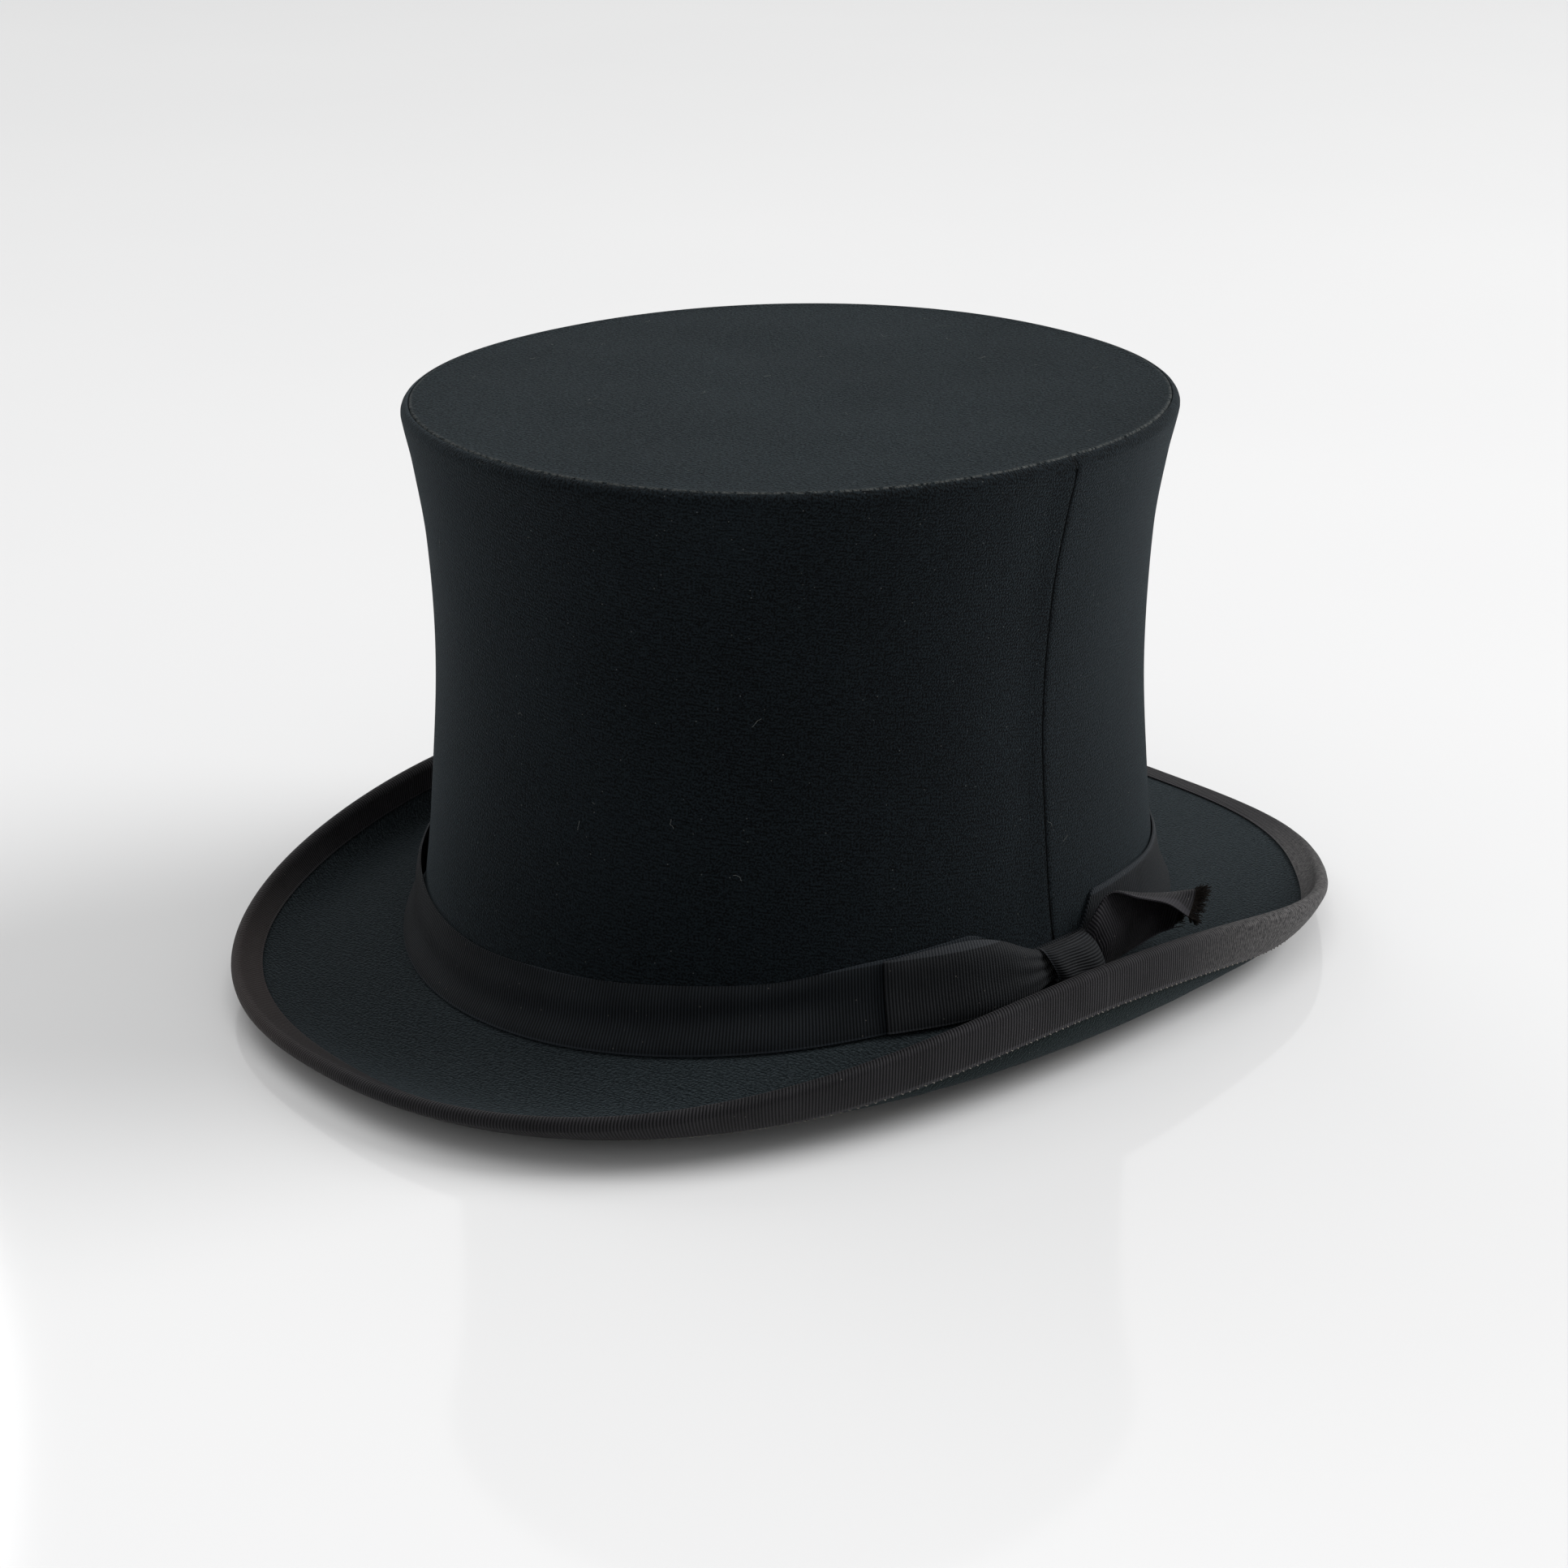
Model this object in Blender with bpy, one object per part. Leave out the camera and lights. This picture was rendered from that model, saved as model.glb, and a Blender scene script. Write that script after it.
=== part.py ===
"""Collapsible opera hat: a stiff curled brim, a waisted cloth crown, and a sprung steel frame inside.

The front of the hat is -Y, the wearer's left is +X, +Z is up, and the brim rests on z = 0.
Four folding ribs stand inside the crown, one at each side, one at the front and one at the back.
Each rib is two arms of equal length hinged at a knee, so the tip comes straight down as they fold inwards.
All lengths are in metres.
"""

import math

import bmesh
import bpy
from mathutils import Matrix, Vector

SEGMENTS = 40  # steps round each oval piece

# Crown
TIP_Z = 0.1455
JOIN_Z = 0.0145  # where the crown meets the brim, at the sides
SADDLE_DROP = 0.0072  # how much lower that line runs at the front and the back
WAIST_RADIUS = 0.0888  # mean of the two half widths at the waist
# Share of the height, mean radius past the waist, and depth less width of the oval.
CROWN_PROFILE = (
    (0.00, 0.0090, 0.0110),
    (0.06, 0.0060, 0.0105),
    (0.13, 0.0044, 0.0099),
    (0.25, 0.0026, 0.0089),
    (0.50, 0.0000, 0.0077),
    (0.75, 0.0007, 0.0062),
    (0.90, 0.0033, 0.0051),
    (0.98, 0.0054, 0.0047),
    (1.00, 0.0054, 0.0046),
)
TIP_SQUARENESS = 0.11  # how far the oval's exponent rises above 2 at the tip
CLOTH = 0.0009
CLOTH_LIFT = 0.0003  # the side cloth starts this far above the line where it meets the brim
CLOTH_TOP_Z = 0.1426
CLOTH_SHARES = (0, 0.04, 0.09, 0.17, 0.30, 0.48, 0.66, 0.82, 0.93, 1)
# Distance in from the crown's outer face and height above its top, over the turned edge of the tip's cloth.
TIP_OUTER = ((0.0026, 0), (0.0013, -0.0005), (0.0003, -0.0013), (0, -0.0026))
TIP_INNER = ((0.0008, -0.0026), (0.0010, -0.0017), (0.0019, -0.0011), (0.0028, -0.0008))
BOARD_INSET, TIP_LINING_INSET = 0.0024, 0.0036

# Brim
RIM_X, RIM_Y = 0.1122, 0.1478  # half width and half depth to the middle of the rim
RIM_EXPONENT = 2.387
RIM_LOW_Z, RIM_LIFT, FRONT_LIFT = 0.0019, 0.0222, 0.0020
FLARE, FLARE_AT, FLARE_WIDTH = 0.0050, math.radians(40), math.radians(13)
# The edge also turns up at the front: how far, how much the brim dips behind it, and where.
TURN_UP, TURN_DIP, TURN_AT, TURN_WIDTH = 0.0042, 0.0120, math.radians(-82), math.radians(28)
BRIM_INSET, BRIM_TUCK = 0.0035, 0.0012  # the brim starts this far inside and below the crown's lower edge
# The handles of the curve across the brim. FLAT ones hold at the front and the back, CURL ones at the sides.
FLAT_REACH, FLAT_RISE = 0.33, 0.0013
CURL_REACH, CURL_SAG = 0.54, -0.0006
CURL_LEAN, CURL_DROP = 0.0017, -0.0290
BOARD, BRIM_CLOTH, BRIM_GAP = 0.0010, 0.0005, 0.0002
BINDING = 0.0005
BINDING_TOP = (0.0060, 0.0030)  # rows of the binding's upper side, measured back from the rim
BINDING_UNDER = (0.0030, 0.0060, 0.0090)
BRIM_ROWS = 4  # further rows of the brim, between the binding and the crown

# Hat band and bow
BAND, BAND_HEIGHT = 0.0007, 0.0175
BAND_LIFT = 0.0004  # the band starts this far above the brim
BAND_GAP_TOP, BAND_GAP_LOW = 0.0006, 0.0013
BOW_GAP = 0.0003  # between the band and the bow

# Inside of the crown: distances inwards from the outer face of the side cloth
RING_OUT, RING_IN = 0.0013, 0.0024
LINING_OUT, LINING = 0.0031, 0.0005
SWEAT_OUT, SWEAT, SWEAT_DROP = 0.0046, 0.0012, 0.0010
BASE_RING_Z = (0.0270, 0.0310)
TOP_RING_Z = (0.1368, 0.1416)
SWEAT_TOP_Z = 0.0320
LINING_Z = (0.0240, 0.0270, 0.0310, 0.0500, 0.0800, 0.1100, 0.1368, 0.1412)
LINING_MARGIN = math.radians(5)  # each gore stops this far from the ribs beside it
REED_RADIUS, REED_DROP = 0.0007, 0.0021
BOARD_Z = (0.1429, 0.1444)
TIP_LINING_Z = (0.1421, 0.1426)

# Folding ribs
LOW_PIVOT_Z, TOP_PIVOT_Z = 0.0360, 0.1388
REST_LEAN = math.radians(4)  # each arm leans this far from upright at rest
ARM_LENGTH = (TOP_PIVOT_Z - LOW_PIVOT_Z) / (2 * math.cos(REST_LEAN))
PIVOT_TO_RING = 0.0045
ARM_WIDTH, ARM_THICKNESS = 0.0050, 0.0014
EYE_RADIUS, HOLE_RADIUS, PIN_RADIUS = 0.0026, 0.00115, 0.0010
TONGUE, FORK_SLOT, JOINT_REACH = 0.0016, 0.0020, 0.0084
FORK_MARGIN = 0.0004  # the fork's slot runs on this far past the tongue in it
FOOT, FOOT_WIDTH, FOOT_GAP, STEM = 0.0009, 0.0080, 0.0005, 0.0044
BRACKET_CLEARANCE = 0.0003  # round the tongue between the ears
PIN_HEAD_RADIUS, PIN_HEAD, PIN_END_GAP = 0.0018, 0.0006, 0.0002
SPRING_RADIUS, SPRING_WIRE, SPRING_TURNS, SPRING_LEG = 0.0019, 0.0003, 3, 0.0120
SPRING_PITCH = 0.00069
SPRING_GAP, SPRING_END_GAP = 0.0006, 0.0011  # from the arm to the coil, and from the coil to the pin's head
ROD_SIDES = 10  # of the pins and their holes
RIBS = {"front": 270, "back": 90, "left": 0, "right": 180}

BLACK_CLOTH = ((0.012, 0.016, 0.018), 0.85, 0.0)
TIP_CLOTH = ((0.022, 0.028, 0.030), 0.85, 0.0)
UNDER_CLOTH = ((0.010, 0.014, 0.013), 0.9, 0.0)
RIBBON = ((0.022, 0.019, 0.020), 0.6, 0.0)
SATIN = ((0.030, 0.030, 0.033), 0.4, 0.0)
LEATHER = ((0.10, 0.045, 0.022), 0.55, 0.0)
BOARD_BROWN = ((0.20, 0.13, 0.07), 0.8, 0.0)
BLUED_STEEL = ((0.05, 0.055, 0.065), 0.35, 1.0)
PLATED_STEEL = ((0.60, 0.58, 0.54), 0.3, 1.0)
REED = ((0.45, 0.33, 0.18), 0.6, 0.0)


def clear_scene():
    for found in list(bpy.data.objects):
        bpy.data.objects.remove(found, do_unlink=True)


def material_for(name, look):
    colour, roughness, metallic = look
    made = bpy.data.materials.new(name + "_finish")
    made.use_nodes = True
    shader = made.node_tree.nodes["Principled BSDF"]
    shader.inputs["Base Color"].default_value = (*colour, 1.0)
    shader.inputs["Roughness"].default_value = roughness
    shader.inputs["Metallic"].default_value = metallic
    made.diffuse_color = (*colour, 1.0)
    return made


def add_part(name, mesh, look, matrix=None, parent=None):
    """A named object with its own material, its origin where matrix puts it."""
    part = bpy.data.objects.new(name, mesh)
    bpy.context.scene.collection.objects.link(part)
    mesh.materials.clear()
    mesh.materials.append(material_for(name, look))
    mesh.shade_smooth()
    mesh.set_sharp_from_angle(angle=math.radians(35))
    if matrix is not None:
        part.matrix_world = matrix
    if parent is not None:
        bpy.context.view_layer.update()
        world = part.matrix_world.copy()
        part.parent = parent
        part.matrix_parent_inverse = parent.matrix_world.inverted()
        part.matrix_world = world
    return part


def loft(name, loops, closed):
    """A closed mesh through loops of points, each joined to the next. Closed joins the last to the first.

    Each four-sided step is split along its shorter diagonal, so that layers that lie together split alike.
    """
    shape = bmesh.new()
    rings = [[shape.verts.new(point) for point in loop] for loop in loops]
    pairs = list(zip(rings, rings[1:]))
    if closed:
        pairs.append((rings[-1], rings[0]))
    else:
        shape.faces.new(rings[0])
        shape.faces.new(rings[-1])
    for first, second in pairs:
        for i in range(len(first)):
            j = (i + 1) % len(first)
            a, b, c, d = first[i], first[j], second[j], second[i]
            if (a.co - c.co).length < (b.co - d.co).length:
                halves = ((a, b, c), (a, c, d))
            else:
                halves = ((a, b, d), (b, c, d))
            for half in halves:
                shape.faces.new(half)
    bmesh.ops.recalc_face_normals(shape, faces=shape.faces)
    mesh = bpy.data.meshes.new(name)
    shape.to_mesh(mesh)
    shape.free()
    return mesh


def polar(radius, angle, z):
    return Vector((radius * math.cos(angle), radius * math.sin(angle), z))


def angles(count=SEGMENTS):
    return [2 * math.pi * i / count for i in range(count)]


def around(section):
    """Loops all round the hat, from a function that gives a closed outline of (radius, z) at an angle."""
    return [[polar(radius, angle, z) for radius, z in section(angle)] for angle in angles()]


# ---- the surfaces that everything follows ----


def along(table, share):
    """Smooth values between the rows of a table, whose first column is the share."""
    share = min(max(share, table[0][0]), table[-1][0])
    k = max(i for i in range(len(table) - 1) if table[i][0] <= share)
    low, high = table[k], table[k + 1]
    before, after = table[max(k - 1, 0)], table[min(k + 2, len(table) - 1)]
    width = high[0] - low[0]
    u = (share - low[0]) / width
    found = []
    for column in range(1, len(low)):
        slope_low = (high[column] - before[column]) / (high[0] - before[0]) * width
        slope_high = (after[column] - low[column]) / (after[0] - low[0]) * width
        found.append(
            (2 * u**3 - 3 * u**2 + 1) * low[column]
            + (u**3 - 2 * u**2 + u) * slope_low
            + (3 * u**2 - 2 * u**3) * high[column]
            + (u**3 - u**2) * slope_high
        )
    return found


def oval(angle, half_x, half_y, exponent=2.0):
    return (
        abs(math.cos(angle) / half_x) ** exponent + abs(math.sin(angle) / half_y) ** exponent
    ) ** (-1 / exponent)


def join_z(angle):
    """Height of the line where the crown meets the brim."""
    return JOIN_Z - SADDLE_DROP * math.sin(angle) ** 2


def crown_radius(angle, z):
    """Outer radius of the side cloth."""
    low = join_z(angle)
    share = (z - low) / (TIP_Z - low)
    grown, spread = along(CROWN_PROFILE, share)
    mean = WAIST_RADIUS + grown
    exponent = 2 + TIP_SQUARENESS * min(max(share, 0), 1)
    return oval(angle, mean - spread / 2, mean + spread / 2, exponent)


def mix(a, b, share):
    return a + (b - a) * share


def bump(angle, centre, width):
    """1 at the centre, falling smoothly to 0 round the hat."""
    away = math.remainder(angle - centre, 2 * math.pi)
    return math.exp(-((away / width) ** 2))


def brim_curve(angle, steps=40):
    """Points (radius, z) and normals along the middle of the brim, from under the crown to the rim."""
    curl = math.cos(angle) ** 2
    flare = FLARE * bump(angle, FLARE_AT, FLARE_WIDTH)
    turned = bump(angle, TURN_AT, TURN_WIDTH)
    start = Vector((crown_radius(angle, join_z(angle)) - BRIM_INSET, join_z(angle) - BRIM_TUCK))
    rim_z = RIM_LOW_Z + RIM_LIFT * curl + FRONT_LIFT * (1 - math.sin(angle)) / 2 + TURN_UP * turned
    end = Vector((oval(angle, RIM_X, RIM_Y, RIM_EXPONENT) + flare, rim_z))
    width = end.x - start.x
    first = start + Vector((width * mix(FLAT_REACH, CURL_REACH, curl), mix(0, CURL_SAG, curl)))
    rise = mix(FLAT_RISE, CURL_DROP, curl) - TURN_DIP * turned
    second = end + Vector((mix(-FLAT_REACH * width, CURL_LEAN, curl), rise))
    found = []
    for i in range(steps + 1):
        t = i / steps
        s = 1 - t
        point = s**3 * start + 3 * s * s * t * first + 3 * s * t * t * second + t**3 * end
        slope = s * s * (first - start) + 2 * s * t * (second - first) + t * t * (end - second)
        slope.normalize()
        found.append((point, Vector((-slope.y, slope.x))))
    return found


def brim_at(curve, back):
    """The point and the normal this far back from the rim, measured along the brim."""
    left = back
    for (outer, outer_normal), (inner, inner_normal) in zip(curve[::-1], curve[-2::-1]):
        step = (outer - inner).length
        if left <= step:
            share = left / step
            return outer.lerp(inner, share), outer_normal.lerp(inner_normal, share).normalized()
        left -= step
    return curve[0]


def brim_length(curve):
    return sum((b[0] - a[0]).length for a, b in zip(curve, curve[1:]))


# ---- brim ----


def brim_layer(name, low, high, look):
    """A layer of the brim between two offsets from its middle."""

    def section(angle):
        curve = brim_curve(angle)
        inner = levels(brim_length(curve), BINDING_UNDER[-1], BRIM_ROWS + 1)[:-1]
        places = [brim_at(curve, back) for back in [*inner, *reversed(BINDING_UNDER), 0]]
        upper = [tuple(point + normal * high) for point, normal in places]
        lower = [tuple(point + normal * low) for point, normal in reversed(places)]
        return upper + lower

    add_part(name, loft(name, around(section), True), look)


def brim_binding():
    """A ribbon folded over the rim."""
    face = BOARD / 2 + BRIM_GAP + BRIM_CLOTH + BRIM_GAP

    def section(angle):
        curve = brim_curve(angle)
        end, end_normal = brim_at(curve, 0)
        outwards = Vector((end_normal.y, -end_normal.x))
        upper = [brim_at(curve, back) for back in BINDING_TOP]
        lower = [brim_at(curve, back) for back in BINDING_UNDER]
        found = []
        for offset, turns in ((face + BINDING, (90, 45, 0, -45, -90)), (face, (-90, 0, 90))):
            side = [point + normal * offset for point, normal in upper]
            under = [point - normal * offset for point, normal in lower]
            bend = [
                end
                + end_normal * offset * math.sin(math.radians(turn))
                + outwards * offset * math.cos(math.radians(turn))
                for turn in turns
            ]
            run = side + bend + under if turns[0] > 0 else under[::-1] + bend + side[::-1]
            found += [tuple(point) for point in run]
        return found

    add_part("brim_binding", loft("brim_binding", around(section), True), RIBBON)


def make_brim():
    half = BOARD / 2
    skin = half + BRIM_GAP
    brim_layer("brim_board", -half, half, BOARD_BROWN)
    brim_layer("brim_top_cloth", skin, skin + BRIM_CLOTH, BLACK_CLOTH)
    brim_layer("brim_under_cloth", -skin - BRIM_CLOTH, -skin, UNDER_CLOTH)
    brim_binding()


# ---- crown wall ----


def wall_section(angle, heights, outer, inner):
    """A strip of the wall between two distances inwards from the face of the side cloth."""
    out = [(crown_radius(angle, z) - outer, z) for z in heights]
    back = [(crown_radius(angle, z) - inner, z) for z in reversed(heights)]
    return out + back


def levels(low, high, count):
    return [mix(low, high, i / (count - 1)) for i in range(count)]


def make_side_cloth():
    def section(angle):
        heights = [mix(join_z(angle) + CLOTH_LIFT, CLOTH_TOP_Z, share) for share in CLOTH_SHARES]
        return wall_section(angle, heights, 0, CLOTH)

    add_part("crown_side_cloth", loft("crown_side_cloth", around(section), True), BLACK_CLOTH)


def make_ring(name, low, high, parent=None):
    def section(angle):
        return wall_section(angle, (low, high), RING_OUT, RING_IN)

    add_part(name, loft(name, around(section), True), BLUED_STEEL, parent=parent)


def make_linings():
    """Four gores of lining, with a gap at each rib for its arms to fold through."""
    quarter = SEGMENTS // 4
    for i in range(4):
        steps = angles()[i * quarter + 1 : (i + 1) * quarter]
        start, end = i * math.pi / 2 + LINING_MARGIN, (i + 1) * math.pi / 2 - LINING_MARGIN
        loops = []
        for angle in [start] + steps + [end]:
            section = wall_section(angle, LINING_Z, LINING_OUT, LINING_OUT + LINING)
            loops.append([polar(radius, angle, z) for radius, z in section])
        name = f"lining_gore_{i + 1}"
        add_part(name, loft(name, loops, False), SATIN)


def make_sweatband():
    def band(angle):
        heights = levels(join_z(angle) - SWEAT_DROP, SWEAT_TOP_Z, 3)
        return wall_section(angle, heights, SWEAT_OUT, SWEAT_OUT + SWEAT)

    def reed(angle):
        middle = crown_radius(angle, join_z(angle)) - SWEAT_OUT - SWEAT / 2
        z = join_z(angle) - REED_DROP
        turns = [2 * math.pi * i / 6 for i in range(6)]
        return [(middle + REED_RADIUS * math.cos(t), z + REED_RADIUS * math.sin(t)) for t in turns]

    add_part("sweatband", loft("sweatband", around(band), True), LEATHER)
    add_part("sweatband_reed", loft("sweatband_reed", around(reed), True), REED)


# ---- hat band and bow ----


def band_face(angle, share):
    """Radius and height of the band's inner face, with share 0 at its lower edge and 1 at its upper edge."""
    z = join_z(angle) + BAND_LIFT + BAND_HEIGHT * share
    return crown_radius(angle, z) + mix(BAND_GAP_LOW, BAND_GAP_TOP, share), z


def make_band():
    def section(angle):
        inner = [band_face(angle, share) for share in (0, 0.5, 1)]
        return [(radius + BAND, z) for radius, z in inner] + inner[::-1]

    add_part("hat_band", loft("hat_band", around(section), True), RIBBON)


def bow_piece(name, stations):
    """A puffed piece of ribbon on the band.

    Each station is (degrees, height and middle as shares of the ribbon's width, lift, thickness).
    """
    loops = []
    for degrees, tall, middle, lift, thick in stations:
        angle = math.radians(degrees)
        outline = []
        for turn in [2 * math.pi * i / 10 for i in range(10)]:
            share = middle + tall / 2 * math.sin(turn)
            face, _ = band_face(angle, min(max(share, 0), 1))
            radius = face + BAND + BOW_GAP + lift + thick / 2 + thick / 2 * math.cos(turn)
            outline.append(polar(radius, angle, join_z(angle) + BAND_LIFT + BAND_HEIGHT * share))
        loops.append(outline)
    add_part(name, loft(name, loops, False), RIBBON)


def make_bow():
    front = (
        (-27, 0.94, 0.50, 0.0001, 0.0026),
        (-19, 0.96, 0.50, 0.0002, 0.0045),
        (-12, 0.94, 0.50, 0.0003, 0.0060),
        (-6, 0.76, 0.44, 0.0003, 0.0058),
        (-1.5, 0.50, 0.38, 0.0002, 0.0040),
    )
    knot = (
        (-0.9, 0.52, 0.38, 0.0002, 0.0052),
        (4.8, 0.54, 0.38, 0.0003, 0.0062),
        (10.4, 0.54, 0.38, 0.0002, 0.0052),
    )
    rear = (
        (11, 0.50, 0.40, 0.0002, 0.0040),
        (15, 0.94, 0.60, 0.0004, 0.0060),
        (20, 0.90, 0.72, 0.0015, 0.0070),
        (25, 0.66, 0.88, 0.0045, 0.0080),
        (30, 0.40, 0.95, 0.0085, 0.0085),
    )
    bow_piece("bow_front_loop", front)
    bow_piece("bow_knot", knot)
    bow_piece("bow_rear_loop", rear)


# ---- tip ----


def tip_loop(angle_list, inset, z):
    return [polar(crown_radius(angle, TIP_Z) - inset, angle, z) for angle in angle_list]


def make_tip(parent):
    """The flat end of the crown: cloth turned down over the edge, a stiff board, and the lining."""
    steps = angles()
    loops = [tip_loop(steps, inset, TIP_Z + rise) for inset, rise in TIP_OUTER + TIP_INNER]
    add_part("tip_cloth", loft("tip_cloth", loops, False), TIP_CLOTH, parent=parent)
    board = [tip_loop(steps, BOARD_INSET, z) for z in BOARD_Z]
    add_part("tip_board", loft("tip_board", board, False), BOARD_BROWN, parent=parent)
    lining = [tip_loop(steps, TIP_LINING_INSET, z) for z in TIP_LINING_Z]
    add_part("tip_lining", loft("tip_lining", lining, False), SATIN, parent=parent)


# ---- folding ribs ----


def helper(name, mesh, matrix=None):
    made = bpy.data.objects.new(name, mesh)
    bpy.context.scene.collection.objects.link(made)
    if matrix is not None:
        made.matrix_world = matrix
    return made


def box_mesh(low, high):
    loops = [
        [(x, low[1], low[2]), (x, high[1], low[2]), (x, high[1], high[2]), (x, low[1], high[2])]
        for x in (low[0], high[0])
    ]
    return loft("block", loops, False)


def cylinder_mesh(radius, low, high, sides=ROD_SIDES):
    """A cylinder along x."""
    loops = [
        [
            (x, radius * math.cos(2 * math.pi * i / sides), radius * math.sin(2 * math.pi * i / sides))
            for i in range(sides)
        ]
        for x in (low, high)
    ]
    return loft("rod", loops, False)


def carved(body, cutters, joined=()):
    """The mesh of body with some solids joined to it, then others cut away."""
    target = helper("blank", body)
    others = [(helper("addition", mesh), "UNION") for mesh in joined]
    others += [(helper("cutter", mesh), "DIFFERENCE") for mesh in cutters]
    for other, operation in others:
        modifier = target.modifiers.new(operation.lower(), "BOOLEAN")
        modifier.object = other
        modifier.operation = operation
        modifier.solver = "EXACT"
    bpy.context.view_layer.update()
    graph = bpy.context.evaluated_depsgraph_get()
    mesh = bpy.data.meshes.new_from_object(target.evaluated_get(graph))
    for used in [target] + [other for other, _ in others]:
        bpy.data.objects.remove(used, do_unlink=True)
    return mesh


def eye_points(centre_z, start, end, steps=7):
    """Points of an arc round an eye, in the plane across the hinge."""
    found = []
    for i in range(steps + 1):
        turn = math.radians(mix(start, end, i / steps))
        found.append((EYE_RADIUS * math.cos(turn), centre_z + EYE_RADIUS * math.sin(turn)))
    return found


def prism(outline, half_width):
    """An outline in the y-z plane, given thickness along x."""
    loops = [[(x, y, z) for y, z in outline] for x in (-half_width, half_width)]
    return loft("prism", loops, False)


def arm_mesh(upper_end_forked):
    """An arm from its lower eye at the origin to its upper eye at ARM_LENGTH."""
    lean_in = math.degrees(math.asin(ARM_THICKNESS / 2 / EYE_RADIUS))
    low = eye_points(0, 90 + lean_in, 450 - lean_in)
    top = eye_points(ARM_LENGTH, -90 + lean_in, 270 - lean_in)
    blank = prism(low + top, ARM_WIDTH / 2)
    side, far = ARM_WIDTH, EYE_RADIUS * 2
    ends = [(-far, JOINT_REACH)]
    if not upper_end_forked:
        ends.append((ARM_LENGTH - JOINT_REACH, ARM_LENGTH + far))
    cutters = []
    for low_z, high_z in ends:
        for sign in (-1, 1):
            near, away = sorted((sign * TONGUE / 2, sign * side))
            cutters.append(box_mesh((near, -far, low_z), (away, far, high_z)))
    if upper_end_forked:
        start = ARM_LENGTH - JOINT_REACH - FORK_MARGIN
        slot = FORK_SLOT / 2
        cutters.append(box_mesh((-slot, -far, start), (slot, far, ARM_LENGTH + far)))
    for z in (0, ARM_LENGTH):
        hole = cylinder_mesh(HOLE_RADIUS, -side, side)
        hole.transform(Matrix.Translation((0, 0, z)))
        cutters.append(hole)
    return carved(blank, cutters)


def bracket_mesh(reach, foot_low, foot_high):
    """Two ears round the hinge, standing on a foot that lies against a ring. Reach is to the foot's back."""
    stem = reach - FOOT / 2
    ear = eye_points(0, 60, 300) + [(stem, -STEM / 2), (stem, STEM / 2)]
    ears = prism(ear, ARM_WIDTH / 2)
    plate = box_mesh((-FOOT_WIDTH / 2, reach - FOOT, foot_low), (FOOT_WIDTH / 2, reach, foot_high))
    slot = FORK_SLOT / 2
    clear = EYE_RADIUS + BRACKET_CLEARANCE
    slot_cut = box_mesh((-slot, -clear * 2, -clear), (slot, clear, clear))
    hole = cylinder_mesh(HOLE_RADIUS, -ARM_WIDTH, ARM_WIDTH)
    return carved(ears, (slot_cut, hole), joined=(plate,))


def pin_mesh(far_end):
    """A headed pin along x. Far_end is where its +x head starts."""
    near_end = ARM_WIDTH / 2 + PIN_END_GAP
    stations = (
        (PIN_HEAD_RADIUS, -near_end - PIN_HEAD),
        (PIN_HEAD_RADIUS, -near_end),
        (PIN_RADIUS, -near_end),
        (PIN_RADIUS, far_end),
        (PIN_HEAD_RADIUS, far_end),
        (PIN_HEAD_RADIUS, far_end + PIN_HEAD),
    )
    loops = [
        [
            (x, r * math.cos(2 * math.pi * i / ROD_SIDES), r * math.sin(2 * math.pi * i / ROD_SIDES))
            for i in range(ROD_SIDES)
        ]
        for r, x in stations
    ]
    return loft("pin", loops, False)


def spring_mesh():
    """A coil round the knee pin, with one leg down the side of the lower arm."""
    start_x = ARM_WIDTH / 2 + SPRING_GAP
    per_turn = 8
    route = [(start_x, SPRING_RADIUS, -SPRING_LEG), (start_x, SPRING_RADIUS, -SPRING_LEG / 2)]
    for i in range(SPRING_TURNS * per_turn + 1):
        turn = 2 * math.pi * i / per_turn
        x = start_x + SPRING_PITCH * turn / (2 * math.pi)
        route.append((x, SPRING_RADIUS * math.cos(turn), SPRING_RADIUS * math.sin(turn)))
    route = [Vector(point) for point in route]
    loops = []
    for i, point in enumerate(route):
        heading = (route[min(i + 1, len(route) - 1)] - route[max(i - 1, 0)]).normalized()
        across = Vector((1, 0, 0))
        across = (across - heading * across.dot(heading)).normalized()
        other = heading.cross(across)
        turns = [math.pi * k / 2 for k in range(4)]
        loops.append(
            [point + SPRING_WIRE * (across * math.cos(t) + other * math.sin(t)) for t in turns]
        )
    return loft("spring", loops, False)


def rib_frame(angle, radius, z, lean=0.0):
    """Local x along the hinge, y outwards and z up the arm. Positive lean tips z towards the inside."""
    outwards = Vector((math.cos(angle), math.sin(angle), 0))
    hinge = Vector((math.sin(angle), -math.cos(angle), 0))
    frame = Matrix((hinge, outwards, Vector((0, 0, 1)))).transposed().to_4x4()
    return Matrix.Translation(polar(radius, angle, z)) @ frame @ Matrix.Rotation(lean, 4, "X")


def pivot_radius(angle):
    """Radius of the lower and the upper pivots, which stand one above the other."""
    inner = [crown_radius(angle, sum(ring) / 2) - RING_IN for ring in (BASE_RING_Z, TOP_RING_Z)]
    return min(inner) - PIVOT_TO_RING


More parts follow.
